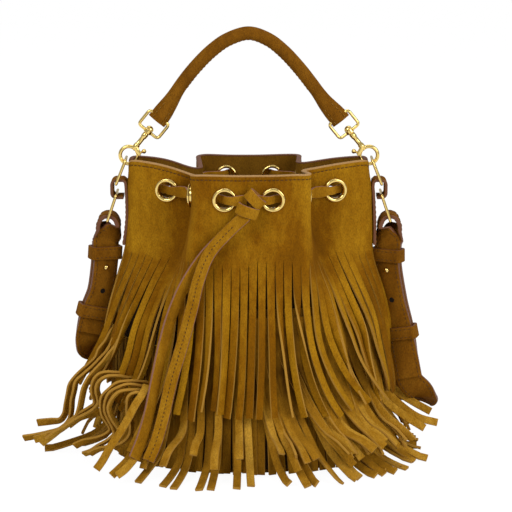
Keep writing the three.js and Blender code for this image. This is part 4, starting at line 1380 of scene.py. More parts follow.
@dataclass
class BagBody:
    """Skin with the upper fringe, lining, base and the finished rim."""

    surface: BodySurface
    finishes: Finishes
    strips_maker: StripMaker
    stitches: StitchMaker
    eyelets: EyeletRow
    strips: int = 40
    strip_cells: int = 4
    strip_rows: int = 26
    seam_depth: float = 3.4
    slit: float = 0.45
    slit_top: float = 158.0
    tip: float = 46.0
    flare: float = 11.5
    rim_edge: Pair = (3.7, 1.1)
    rim_stitch: Triple = (3.0, 2.4, 0.7)
    lining_foot: float = 3.3
    base_levels: Table = ((0.0, -2.0), (0.4, -0.9), (1.2, -0.3), (3.0, -0.2))
    sweep: Table = (
        (-0.5, 0.0), (-0.28, -6.0), (-0.24, -16.0), (-0.19, -24.0), (-0.14, -16.0), (-0.08, -7.0),
        (-0.02, -5.0), (0.02, 0.0), (0.05, 9.0), (0.09, 25.0), (0.16, 28.0), (0.22, 14.0), (0.27, 4.0),
        (0.5, 0.0),
    )
    kick: Table = ((-0.34, 0.0), (-0.25, 14.0), (-0.21, 22.0), (-0.17, 14.0), (-0.12, 3.0), (-0.08, 0.0))
    seed: int = 11

    def build(self) -> None:
        """Builds and dresses the pieces."""
        rng = np.random.default_rng(self.seed)
        for label, start in HALVES:
            sheet = self._skin(start, rng)
            sheet.cut(self.eyelets.centres(sum(self.surface.skin_faces) / 2), self.eyelets.hole)
            finishes = [self.finishes.suede, self.finishes.fringe, self.finishes.fringe_cut]
            piece = sheet.piece(f"{label}_skin", finishes)
            settle(piece, BAG, Slot.SUEDE, [f"{label}_panel"])
        self._rim()
        self._lining()
        self._base()

    @staticmethod
    def _depths(foot: float, count: int) -> Array:
        """Depths of rows down to a foot, close together at the seam and at the eyelets."""
        seam = [0.0, 0.8, 1.6, 2.4, 2.9, 3.4, 3.9, 4.6]
        return np.concatenate([seam, np.arange(6.0, 34.0, 1.4), np.linspace(35.4, foot, count)])

    def _rim(self) -> None:
        """The painted edge along the rim, its front half in a lighter copy of the paint as a painted
        highlight, and the sewing under it.
        """
        surface = self.surface
        # The front half takes the lighter paint as a painted highlight; the back half takes the plain edge
        # paint.
        rim_paints_front_lit = {"front": self.finishes.rim_paint, "back": self.finishes.painted}
        sewn = Lines()
        for label, start in HALVES:
            t = start + np.linspace(0, 0.5, 361)
            lines = Lines()
            lines.add(surface.wall(t, surface.rim(t) - 0.2, 0.1), (0.0, 0.0, 1.0))
            paint = rim_paints_front_lit[label]
            piece = self.strips_maker.make(f"rim_edge_{label}", lines, *self.rim_edge, paint, paint, 0.5)
            settle(piece, BAG, Slot.SUEDE)
            t = start + np.linspace(0.002, 0.498, 360)
            line = surface.wall(t, surface.rim(t) - self.seam_depth, surface.skin_faces[1] - 0.25)
            sewn.add(line, surface.normal(t, surface.rim(t)))
        thread = self.stitches.make("rim_stitches", sewn, self.finishes.dark_thread, *self.rim_stitch)
        settle(thread, BAG, Slot.SUEDE)

    def _slit_height(self, t: Array) -> Array:
        """Height at which the slits start."""
        turn = 2 * math.pi * np.asarray(t)
        return self.slit_top + 2.2 * np.sin(7 * turn) + 1.2 * np.sin(23 * turn)

    def _skin(self, start: float, rng: Chance) -> SheetParts:
        """One half of the skin with its strips.

        Args:
            start: Share of the way round at which the half starts.
            rng: Source of variation.

        Returns:
            The sheet.
        """
        surface, cells = self.surface, self.strip_cells
        inner, outer = surface.skin_faces
        sheet = SheetParts()
        column = 0.5 / self.strips
        columns = self.strips * cells
        t = start + np.arange(columns + 1) * column / cells
        seam = 0.2 / surface.girth
        t[0] += seam
        t[-1] -= seam
        rim, foot = surface.rim(t), self._slit_height(t)
        above: list[int] = []
        depths = self._depths(surface.rim_height - self.slit_top, 13)
        for depth in depths:
            share = depth / depths[-1]
            z = rim + (foot - rim) * share
            groove = 0.5 * float(hump(depth, self.seam_depth, 0.55))
            half = np.abs((t + 0.5) % 1 - 0.5)
            # Painted light and shade in the skin's shade attribute: the wings are painted lighter than the
            # front, a painted highlight runs down each front fold and painted shade lies in each front valley;
            # the sine term is random tone.
            sides = hump(np.abs(np.sin(2 * math.pi * t)), 0.9, 0.35)
            tone = 0.15 * np.sin(9 * t + 4 * share) - 0.12 + 0.55 * sides
            tone += 0.5 * hump(half, surface.front_fold, 0.008) - 0.9 * hump(half, surface.valleys[0], 0.022)
            row = sheet.row(surface.wall(t, z, outer - groove), surface.wall(t, z, inner), tone)
            if above:
                sheet.join(above, row)
            above = row
        drift_wave = rng.uniform(0, 2 * math.pi, 3)
        for k in range(self.strips):
            top = above[k * cells : (k + 1) * cells + 1]
            self._strip(sheet, top, start + k * column, column, rng, drift_wave)
        return sheet

    def _strip(self, sheet: SheetParts, top: Sequence[int], t0: float, column: float,
               rng: Chance, wave: Array) -> None:
        """One strip of the upper fringe, from its slit to its tip.

        Args:
            sheet: Sheet to add to.
            top: Vertices of the skin's edge above the strip.
            t0: Share of the way round at the strip's edge.
            column: Share of the way round that the strip takes.
            rng: Source of variation.
            wave: Phases of the drift that neighbours share.
        """
        surface = self.surface
        inset = self.slit / 2 / surface.girth
        across = np.linspace(inset, column - inset, self.strip_cells + 1)
        centre_t = t0 + column / 2
        high = float(self._slit_height(centre_t))
        low = self.tip + rng.uniform(-4.5, 4.5)
        lean, twist = rng.uniform(-1.5, 5.0), rng.normal(0, 0.55)
        if rng.random() < 0.25:
            twist += rng.choice([-1, 1]) * rng.uniform(0.5, 1.1)
        side_share = float(hump(abs(math.sin(2 * math.pi * centre_t)), 1, 0.45))
        twist += 0.55 * side_share * rng.choice([-1, 1], p=[0.3, 0.7])
        bend, curl, cup = rng.normal(0, 2.2), rng.normal(0.3, 0.9), rng.uniform(0.0, 0.7)
        ripple, phase = rng.uniform(0.2, 1.0), rng.uniform(0, 2 * math.pi)
        shared = read_round(self.sweep, centre_t) * rng.uniform(0.7, 1.25)
        shared += 1.5 * math.sin(14 * math.pi * centre_t + wave[1])
        kick = read_round(self.kick, centre_t) * rng.uniform(0.6, 1.2)
        share = np.linspace(0, 1, self.strip_rows + 1)[1:]
        z = high + (low - high) * share
        middle = sum(surface.skin_faces) / 2
        stops = np.array([high, high - 26, surface.gather_foot, low])[::-1]
        values = np.array([middle, middle + 0.2 * self.flare, 0.6 * self.flare, self.flare + lean])[::-1]
        offset = np.interp(z, stops, values)
        for _ in range(3):
            offset = np.convolve(np.pad(offset, 2, mode="edge"), np.ones(5) / 5, "valid")
        offset = middle + (offset - middle) * smoothstep(share, 0, 0.2)
        offset += ripple * np.sin(7 * share + phase) * smoothstep(share, 0.3, 1)
        offset += curl * share**4 + kick * share**3
        offset += 3.0 * side_share * np.sin(math.pi * share)
        drift = shared * share**3 + bend * share**1.5 + 0.8 * ripple * np.sin(5 * share + phase) * share
        place_t = centre_t + drift / surface.girth
        line = surface.wall(place_t, z, offset)
        look = surface.normal(place_t, z)
        along = tangents(np.vstack([surface.wall(centre_t, high, middle), line]))[1:]
        look = squared(along, look)
        side = np.cross(along, look)
        flat = surface.wall(place_t[:, None] - column / 2 + across[None], z[:, None], offset[:, None])
        side = side * np.sign((side * (flat[:, -1] - flat[:, 0])).sum(1, keepdims=True))
        width = (column * surface.girth - self.slit) * (rng.uniform(0.84, 0.98) - 0.1 * side_share)
        angle = twist * smoothstep(share, 0.02, 0.7)
        turned_side = side * np.cos(angle)[:, None] + look * np.sin(angle)[:, None]
        turned_look = look * np.cos(angle)[:, None] - side * np.sin(angle)[:, None]
        across_share = np.linspace(-0.5, 0.5, self.strip_cells + 1)
        ribbon = (
            line[:, None]
            + turned_side[:, None] * (across_share * width)[None, :, None]
            - turned_look[:, None] * (cup * (2 * across_share) ** 2)[None, :, None]
        )
        free = smoothstep(share, 0.0, 0.35)[:, None, None]
        points = flat * (1 - free) + ribbon * free
        looks = surface.normal(place_t, z)[:, None] * (1 - free) + turned_look[:, None] * free
        half = surface.skin / 2
        shade = rng.uniform(-0.5, 1.1)
        for j in range(self.strip_rows):
            tone = shade * smoothstep(share[j], 0, 0.3)
            row = sheet.row(points[j] + looks[j] * half, points[j] - looks[j] * half, tone)
            sheet.join(top, row)
            top = row

    def _lining(self) -> None:
        """The inner wall; its outer face is dark, as painted shade seen through the skin's slits."""
        surface = self.surface
        inner, outer = surface.lining_faces
        sheet = SheetParts()
        t = np.arange(0, 321) / 320
        rim = surface.rim(t) - 0.2
        above: list[int] = []
        depths = self._depths(surface.rim_height - self.lining_foot, 28)
        for depth in depths:
            z = rim + (self.lining_foot - rim) * depth / depths[-1]
            row = sheet.row(surface.wall(t[:-1], z[:-1], outer), surface.wall(t[:-1], z[:-1], inner))
            row.append(row[0])
            if above:
                sheet.join(above, row)
            above = row
        sheet.cut(self.eyelets.centres((inner + outer) / 2), self.eyelets.hole)
        # The outer face takes the dark finish as painted shade behind the slits.
        piece = sheet.piece("lining_wall", [self.finishes.hidden, self.finishes.inside, self.finishes.cut])
        settle(piece, BAG, Slot.LINING, ["lining"])

    def _base(self) -> None:
        """The stiff base, with a rounded lower edge."""
        surface = self.surface
        count = 160
        t = np.arange(count) / count
        plan, out = surface.plan(t, 0.0), surface.normal(t, np.zeros(count))
        rings = [np.column_stack([plan, np.full(count, z)]) + out * far for z, far in self.base_levels]
        parts = MeshParts()
        parts.rings(np.stack(rings))
        settle(parts.piece("base", self.finishes.suede), BAG, Slot.SUEDE, ["base_panel"])


@dataclass
class LowerFringe:
    """The longer fringe that hangs under the first and spreads on the ground.

    The strips of the bundle on the left are listed one by one, as they loop over each other there.
    """

    surface: BodySurface
    finishes: Finishes
    strips: StripMaker
    count: int = 40
    width: float = 5.7
    thickness: float = 2.0
    top: float = 124.0
    reach_front: float = 37.0
    reach_left: float = 70.0
    reach_right: float = 46.0
    reach_back: float = 40.0
    clump: int = 3
    covered: float = 1.6
    seed: int = 23
    sweep: Table = (
        (-0.5, 0.0), (-0.3, 6.0), (-0.2, -4.0), (-0.12, -2.0), (-0.09, 0.0), (-0.05, 2.0), (-0.02, 2.0),
        (-0.008, 1.0), (0.004, 24.0), (0.03, 40.0), (0.09, 46.0), (0.16, 42.0), (0.22, 22.0), (0.3, 4.0),
        (0.5, 0.0),
    )
    reach_share: Table = (
        (-0.5, 1.0), (-0.12, 1.0), (-0.09, 1.3), (-0.015, 1.35), (0.0, 1.2), (0.03, 1.15), (0.1, 1.0),
        (0.14, 0.85), (0.2, 0.75), (0.3, 0.85), (0.36, 1.0), (0.5, 1.0),
    )
    bundle: Pair = (-0.24, -0.12)
    calm: Pair = (-0.12, -0.004)
    dense: Pair = (0.0, 0.14)
    above_floor: float = 0.3
    loops: tuple[Table, ...] = (
        ((-100, -14, 100), (-106, -18, 89), (-111, -22, 83), (-113, -24, 78), (-118, -26, 73),
         (-123, -27, 69), (-129, -27, 63), (-133, -25, 57), (-135, -22, 49), (-137, -18, 40),
         (-139, -14, 31), (-143, -11, 25), (-151, -8, 23), (-161, -5, 21)),
        ((-96, -20, 102), (-101, -24, 91), (-105, -28, 84), (-110, -31, 79), (-116, -33, 73), (-122, -34, 68),
         (-128, -33, 62), (-130, -31, 54), (-132, -28, 46), (-133, -25, 37), (-135, -22, 29), (-141, -20, 22),
         (-152, -17, 17), (-163, -14, 13), (-171, -12, 11)),
        ((-94, -26, 99), (-97, -30, 90), (-103, -34, 83), (-107, -37, 78), (-113, -39, 72), (-118, -40, 66),
         (-122, -39, 58), (-124, -36, 50), (-126, -33, 41), (-129, -30, 33), (-136, -27, 26), (-144, -24, 20),
         (-154, -21, 15), (-162, -19, 12)),
        ((-84, -36, 70), (-89, -41, 70), (-97, -44, 71), (-104, -46, 72), (-109, -46, 71), (-113, -45, 67),
         (-115, -43, 61), (-115, -41, 54), (-114, -39, 51), (-114, -37, 46), (-118, -35, 42), (-125, -32, 37),
         (-133, -29, 30), (-142, -26, 22), (-150, -22, 15), (-157, -19, 9)),
        ((-82, -40, 68), (-89, -45, 68), (-96, -48, 70), (-104, -49, 70), (-108, -49, 68), (-111, -47, 64),
         (-112, -45, 58), (-111, -43, 52), (-111, -41, 48), (-114, -39, 43), (-120, -36, 38), (-128, -33, 33),
         (-137, -30, 26), (-145, -27, 20), (-151, -24, 14)),
        ((-70, -46, 63), (-79, -53, 67), (-88, -56, 68), (-96, -57, 67), (-102, -56, 62), (-107, -54, 56),
         (-108, -52, 48), (-107, -50, 41), (-104, -48, 35), (-102, -46, 29), (-106, -44, 24), (-114, -42, 20),
         (-123, -40, 17), (-130, -38, 13)),
        ((-69, -50, 61), (-79, -57, 65), (-88, -60, 67), (-95, -61, 65), (-101, -60, 61), (-104, -58, 55),
         (-105, -56, 47), (-103, -54, 40), (-100, -52, 33), (-99, -50, 27), (-104, -48, 21), (-111, -46, 16),
         (-117, -44, 11), (-123, -42, 8)),
        ((-68, -54, 60), (-78, -61, 63), (-87, -64, 64), (-94, -65, 63), (-99, -64, 58), (-102, -62, 51),
         (-101, -60, 44), (-97, -58, 36), (-94, -56, 30), (-97, -54, 23), (-104, -52, 17), (-112, -50, 14),
         (-118, -48, 10)),
        ((-72, -60, 57), (-78, -66, 62), (-83, -68, 63), (-87, -67, 60), (-88, -65, 53), (-88, -63, 45),
         (-86, -61, 37), (-87, -59, 29), (-92, -57, 22), (-100, -55, 17)),
    )
    flat_ends: tuple[Table, ...] = (
        ((-74, -66, 68), (-77, -71, 63), (-82, -74, 56), (-87, -77, 47), (-93, -80, 37), (-100, -83, 27),
         (-106, -87, 17), (-110, -90, 12)),
        ((-69, -66, 60), (-73, -71, 51), (-77, -75, 40), (-82, -78, 30), (-86, -81, 22)),
        ((-72, -70, 35), (-77, -77, 26), (-83, -84, 18), (-90, -89, 11), (-95, -92, 8)),
        ((-77, -66, 33), (-82, -74, 24), (-88, -81, 16), (-95, -86, 10), (-99, -89, 7)),
        ((86, 6, 83), (94, 6, 67), (103, 8, 53), (113, 8, 42), (125, 8, 34), (139, 8, 26)),
        ((84, -6, 80), (93, -8, 62), (104, -8, 47), (116, -8, 35), (129, -8, 26), (143, -8, 22)),
        ((80, -16, 80), (91, -20, 59), (104, -22, 42), (118, -22, 31), (132, -22, 22)),
    )

    def build(self) -> None:
        """Builds and dresses the two halves."""
        rng = np.random.default_rng(self.seed)
        for label, start in HALVES:
            lines = Lines()
            groups = rng.normal(0, 1, (self.count // self.clump + 2, 4))
            for k in range(self.count):
                t = start + (k + 0.5) * 0.5 / self.count
                self._inner(lines, t, rng)
                if self.bundle[0] < t < self.bundle[1]:
                    continue
                calm = self._is_calm(t)
                if not (calm and k % 3 == 2):
                    self._under(lines, t, rng, groups[k // self.clump])
                if calm and k % 2:
                    continue
                self._over(lines, t + 0.12 * 0.5 / self.count, rng, groups[(k + 1) // self.clump])
                if self.dense[0] < t < self.dense[1]:
                    self._over(lines, t + 0.5 * 0.5 / self.count, rng, groups[(k + 2) // self.clump])
            if label == "front":
                self._bundle(lines, rng)
            piece = self.strips.make(
                f"lower_fringe_{label}_strips", lines, self.width, self.thickness,
                self.finishes.ground_fringe, self.finishes.fringe_cut,
            )
            settle(piece, BAG, Slot.SUEDE, [f"lower_fringe_{label}"])

    def _is_calm(self, t: float) -> bool:
        """Whether a strip belongs to the smooth part of the front."""
        return self.calm[0] < t < self.calm[1]

    def _bundle(self, lines: Lines, rng: Chance) -> None:
        """The listed strips: the loops on the left, and the ends that stand out on both sides.

        Args:
            lines: Lines to add to.
            rng: Source of variation.
        """
        for route in self.loops:
            path = spline(route, 70)
            along = tangents(path)
            share = np.linspace(0, 1, len(path))[:, None]
            edge_on = squared(along, np.cross(along, [0.0, 1.0, 0.0]))
            angle = rng.uniform(0.4, 0.75) + rng.uniform(0.3, 0.9) * smoothstep(share, 0.75, 1.0)
            looks = edge_on * np.cos(angle) + np.cross(along, edge_on) * np.sin(angle)
            lines.add(self._above_ground(path, looks), looks, rng.uniform(-0.4, 0.5))
        for route in self.flat_ends:
            path = spline(route, 40)
            aside = 0.3 if route[0][0] > 0 else -0.3
            lines.add(path, (aside, -1.0, 0.35 + rng.normal(0, 0.1)), rng.uniform(0.1, 0.5))

    def _reach(self, t: float) -> float:
        """How far the strips lie out at a share of the way round.

        Args:
            t: Share of the way round.

        Returns:
            The reach in millimetres.
        """
        turn = 2 * math.pi * t
        side = self.reach_right if math.sin(turn) > 0 else self.reach_left
        end = self.reach_front if math.cos(turn) > 0 else self.reach_back
        tucked = 1 - 0.5 * float(hump(t, 0.71, 0.05))
        tucked *= read_round(self.reach_share, t)
        return tucked * (side * math.sin(turn) ** 2 + end * math.cos(turn) ** 2)

    def _strip(self, lines: Lines, t: float, profile: Stops, drift: Array, twist: float,
               shade: float) -> None:
        """Adds one strip.

        Args:
            lines: Lines to add to.
            t: Share of the way round.
            profile: Offset and height of points down the strip.
            drift: Sideways drift in millimetres at each of the strip's points.
            twist: Turn of the tip in radians.
            shade: Shade of the strip.
        """
        count = len(drift)
        path = spline(profile, count)
        root = self.surface.wall(t, path[:, 1], 0.0)
        look = self.surface.normal(t, np.zeros(count))
        side = np.stack([-look[:, 1], look[:, 0], np.zeros(count)], axis=1)
        points = root + look * path[:, :1] + side * drift[:, None]
        points[:, 2] = np.maximum(path[:, 1], self.thickness / 2 + self.above_floor)
        along = tangents(points)
        up = squared(along, np.cross(side, along) * -1)
        share = np.linspace(0, 1, count)
        across = np.cross(along, up)
        if self._is_calm(t):
            twist *= 0.3
        angle = (twist * share**1.5)[:, None]
        looks = up * np.cos(angle) + across * np.sin(angle)
        # Painted shadow: each strip is darker towards its top, where the upper fringe hangs over it.
        shades = shade - self.covered * (1 - smoothstep(share, 0.4, 0.72))
        lines.add(self._above_ground(points, looks), looks, shades)

    def _above_ground(self, points: Array, looks: Array) -> Array:
        """Points of a strip lifted so that neither of its edges goes below the ground.

        Args:
            points: Middle line of the strip.
            looks: The way its face looks at each point.

        Returns:
            The lifted line.
        """
        face = squared(tangents(points), looks)
        edge = np.cross(tangents(points), face)
        drop = np.abs(edge[:, 2]) * self.width / 2 + np.abs(face[:, 2]) * self.thickness / 2
        lifted = points.copy()
        lifted[:, 2] = np.maximum(points[:, 2], drop + self.above_floor)
        return lifted

    def _wander(self, rng: Chance, t: float, lean: float, count: int) -> Array:
        """Sideways drift of a strip, with the sweep of its side.

        Args:
            rng: Source of variation.
            t: Share of the way round.
            lean: Lean of its clump in millimetres at the tip.
            count: Number of points.

        Returns:
            Drift at each point.
        """
        share = np.linspace(0, 1, count)
        sweep = read_round(self.sweep, t)
        wave = rng.uniform(0.5, 2.5) * np.sin(rng.uniform(3, 6) * share + rng.uniform(0, 6.3))
        tip = sweep * rng.uniform(0.55, 1.2) + lean + rng.normal(0, 3.0)
        if self._is_calm(t):
            wave, tip = 0.3 * wave, sweep + 0.3 * lean
        return tip * share ** (1.7 if sweep > 10 else 2.2) + wave * share

    def _inner(self, lines: Lines, t: float, rng: Chance) -> None:
        """A strip that hangs straight down against the wall.

        Args:
            lines: Lines to add to.
            t: Share of the way round.
            rng: Source of variation.
        """
        profile = [
            (0.6, 92.0),
            (1.0, 60.0),
            (1.5, 34.0),
            (3.0 + rng.uniform(0, 2), 14.0),
            (6.5, rng.uniform(0.5, 2.5)),
        ]
        drift = rng.normal(0, 1.2) * np.linspace(0, 1, 16) ** 2
        # Painted shade: these strips get a dark shade so that they read as the shadowed gaps between the
        # strips in front.
        self._strip(lines, t, profile, drift, rng.normal(0, 0.2), rng.uniform(-1.1, -0.5))

    def _under(self, lines: Lines, t: float, rng: Chance, group: Array) -> None:
        """A strip that lies out on the ground.

        Args:
            lines: Lines to add to.
            t: Share of the way round.
            rng: Source of variation.
            group: Reach, lift, lean and shade that its clump shares.
        """
        reach = self._reach(t) * (0.84 + 0.1 * float(np.clip(group[0], -1.5, 1.5)) + rng.uniform(-0.05, 0.05))
        lift = rng.uniform(0, 6) + max(0.0, 2 * float(group[1]))
        profile = [
            (1.4, self.top),
            (2.0, 95.0),
            (2.8, 68.0),
            (4.0, 45.0),
            (8.0 + rng.uniform(-1, 1), 24.0 + lift),
            (max(0.34 * reach, 11.0), 9.0 + lift),
            (0.72 * reach, 3.0 + 0.5 * lift),
            (reach, 1.5),
        ]
        drift = self._wander(rng, t, 3.5 * float(group[2]), 26)
        twist = rng.normal(0, 0.5)
        shade = rng.uniform(-0.8, 0.8) + 0.15 * float(group[3])
        self._strip(lines, t, profile, drift, twist, shade)

    def _over(self, lines: Lines, t: float, rng: Chance, group: Array) -> None:
        """A shorter strip that curls out above the others.

        Args:
            lines: Lines to add to.
            t: Share of the way round.
            rng: Source of variation.
            group: Reach, lift, lean and shade that its clump shares.
        """
        reach = self._reach(t)
        out = max(rng.uniform(0.5, 0.75) * reach, 18.0)
        end = rng.uniform(9, 25)
        profile = [
            (2.6, self.top - 6),
            (4.0, 95.0),
            (5.6, 68.0),
            (7.4, 48.0),
            (11.0 + rng.uniform(-1, 2), 33.0),
            (0.72 * out + 3, 0.5 * (33.0 + end)),
            (out, end),
        ]
        drift = self._wander(rng, t, 4.5 * float(group[2]), 24)
        twist = rng.normal(0, 0.75)
        shade = rng.uniform(-0.4, 0.8) + 0.15 * float(group[3])
        self._strip(lines, t, profile, drift, twist, shade)


# Drawstring


@dataclass
class Drawstring:
    """Eyelets, the lace through them, its tie and its two hanging ends."""

    surface: BodySurface
    finishes: Finishes
    strips: StripMaker
    stitches: StitchMaker
    fittings: FittingMaker
    eyelets: EyeletRow
    lace_width: float = 9.0
    lace_thickness: float = 2.2
    lace_clear: Pair = (2.45, 1.9)
    lace_bend: Pair = (1.4, 5.6)
    lace_belly: float = 3.0
    crossing: float = 1.5
    tie_width: float = 8.2
    tie_thickness: float = 2.0
    tie_down: Triple = (-0.51, 0.0, -0.86)
    tie_turns: tuple = (((4.4, -59.6, 204.6), 6.4, 4.4, 0.25), ((-0.9, -60.0, 196.2), 7.2, 5.4, -0.2))
    tail_stitch: Triple = (3.0, 1.8, 0.8)
    sewn_end: Side = Side.RIGHT
    tail_left: Table = (
        (-2, -58.9, 0.949), (-15, -58.9, 0.887), (-32, -60.2, 0.803), (-46, -62.8, 0.7), (-55, -65.2, 0.601),
        (-62, -67.4, 0.483), (-68, -71, 0.345), (-73, -75, 0.23), (-78, -80, 0.15), (-83, -86, 0.093),
    )
    tail_right: Table = (
        (-2, -62.6, 0.952), (-14, -63, 0.897), (-28, -64.4, 0.818), (-36, -68.2, 0.724), (-41, -70, 0.621),
        (-48, -70.6, 0.493), (-56, -73.5, 0.36), (-62, -77, 0.233), (-67, -81.5, 0.148), (-72.5, -87, 0.086),
    )
    tail_look_left: Triple = (0.62, -0.8, 0.2)
    tail_look_right: Triple = (-0.25, -1.0, 0.25)

    def build(self) -> None:
        """Builds and dresses the pieces."""
        self._tails()
        self._eyelets()
        self._lace()
        self._tie()

    def _eyelets(self) -> None:
        """The pressed eyelets, rolled on both faces."""
        row = self.eyelets
        front = self.surface.skin_faces[1] + 0.25
        back = self.surface.lining_faces[0] - 0.3
        roll = [
            (row.hole + 1.5 - 1.5 * math.cos(a), front + 1.4 * math.sin(a)) for a in np.linspace(0.15, 2.2, 9)
        ]
        wide = row.flange - 0.5
        washer = [
            (wide - share * (wide - row.hole), back - 0.15 - 0.95 * math.sin(math.pi * share))
            for share in np.linspace(0, 1, 9)
        ]
        profile = [
            (row.hole, front),
            *roll,
            (row.flange - 0.25, front + 0.55),
            (row.flange, front + 0.1),
            (row.flange - 0.3, front - 0.15),
            (row.barrel, front - 0.1),
            (row.barrel, back),
            (wide, back),
            *washer,
        ]
        parts = MeshParts()
        parts.lathe(profile, (0, 0, 0), (0, 0, 1), 48, closed=True)
        pattern = parts.piece("eyelet_pattern", self.finishes.gold)
        piece = self.fittings.make("eyelets", row.centres(0.0), row.normals(), pattern, self.finishes.gold)
        settle(piece, BAG, Slot.BRASS, [f"eyelet_{i:02d}" for i in range(1, 13)])

    def _lace(self) -> None:
        """The lace in and out of the eyelets."""
        s = self.surface
        out = s.skin_faces[1] + self.lace_clear[0] + self.lace_thickness / 2
        inside = s.lining_faces[0] - self.lace_clear[1] - self.lace_thickness / 2
        near, far = (run / s.girth for run in self.lace_bend)
        stops = [(self.crossing / s.girth, out)]
        outside = True
        places, height = self.eyelets.places, self.eyelets.height
        back_middle = len(places) // 2 - 1
        for i, t in enumerate(places):
            before = out if outside else inside
            outside = not outside
            after = out if outside else inside
            stops += [(t - far, before), (t - near, 0.5 * before), (t + near, 0.5 * after), (t + far, after)]
            if i + 1 < len(places) and i != back_middle:
                stops.append(((t + places[i + 1]) / 2, after + math.copysign(self.lace_belly, after)))
        stops.append((1 - self.crossing / s.girth, out))
        t, offset = np.array(stops).T
        line = spline(s.wall(t, height, offset), 420)
        apart = np.min(np.linalg.norm(line[:, None] - self.eyelets.centres(0.0)[None], axis=2), axis=1)
        breadth = 0.68 + 0.26 * smoothstep(apart, 5, 14)
        breadth = np.where(line[:, 1] > 30, 0.95, breadth)
        looks = np.cross(tangents(line), [0.0, 0.0, 1.0])
        lines = Lines()
        lines.add(line, looks, 0.1, breadth)
        self._laced("lace", lines, "drawstring", (self.lace_width, self.lace_thickness))

    def _laced(self, name: str, lines: Lines, node: str, size: Sequence[float]) -> Piece:
        """Makes a length of lace, of a width and thickness, that stands for a solid."""
        piece = self.strips.make(name, lines, *size, self.finishes.lace, self.finishes.lace_cut, 0.5)
        return settle(piece, BAG, Slot.SUEDE, [node])

    def _tie(self) -> None:
        """The lace's tie: two turns round the ends where they leave the crossing."""
        down = unit(np.array(self.tie_down))
        across = np.array([-down[2], 0.0, down[0]])
        ahead = np.array([0.0, -1.0, 0.0])
        angle = np.linspace(0, 2 * math.pi, 64, endpoint=False)[:, None]
        lines = Lines()
        for centre, half, deep, tilt in self.tie_turns:
            aside = half * np.cos(angle)
            spread = across * aside + ahead * (deep * np.sin(angle)) + down * (tilt * aside)
            lines.add(np.array(centre) + spread, spread, 0.2, loop=True)
        self._laced("lace_tie", lines, "drawstring_knot", (self.tie_width, self.tie_thickness))

    def _tails(self) -> None:
        """The two hanging ends, one with a sewn middle line."""
        for side, route, look, shade in (
            (Side.LEFT, self.tail_left, self.tail_look_left, -0.2),
            (Side.RIGHT, self.tail_right, self.tail_look_right, 0.2),
        ):
            path = spline(np.array(route) * (1.0, 1.0, self.eyelets.height), 90)
            share = np.linspace(0, 1, len(path))[:, None]
            looks = np.array(look) + np.array([0.35, 0.0, 0.5]) * np.sin(3 * share) * share
            lines = Lines()
            lines.add(path, looks, shade)
            size = (self.lace_width, self.lace_thickness)
            piece = self._laced(f"lace_end_{side.label}", lines, f"drawstring_tail_{side.label}", size)
            if side is self.sewn_end:
                out = squared(tangents(path), looks)
                sewn = Lines()
                sewn.add((path + out * (self.lace_thickness / 2 + 0.05))[6:], out[6:])
                thread = self.finishes.dark_thread
                name = f"{piece.name}_stitches"
                stitches = self.stitches.make(name, sewn, thread, *self.tail_stitch)
                settle(stitches, BAG, Slot.SUEDE)


# Side fittings


@dataclass
class HookPlace:
    """Where each hook hangs, and points on it."""

    lean: float = math.radians(51)
    bow: Pair = (89.0, 226.5)

    def at(self, side: Side, a: float, b: float, y: float = 0.0) -> Array:
        """A point on or near a hook.

        Args:
            side: Side of the bag.
            a: Distance up the shank from the bow's centre.
            b: Distance towards the bag.
            y: Distance backwards.

        Returns:
            The point.
        """
        down = (math.cos(self.lean), -math.sin(self.lean))
        x = self.bow[0] - a * down[0] + b * down[1]
        z = self.bow[1] - a * down[1] - b * down[0]
        return np.array([side * x, y, z])


def rounded_loop(corners: Sequence[Array], rounding: float, steps: int = 7) -> Array:
    """A closed line through corners, each rounded off.

    Args:
        corners: Corner points.
        rounding: Length of each rounding along its sides.
        steps: Points in a rounding.

    Returns:
        Points of the loop.
    """
    befores = [corners[-1], *corners[:-1]]
    afters = [*corners[1:], corners[0]]
    return np.vstack([rounded_corner(*three, rounding, steps) for three in zip(befores, corners, afters)])


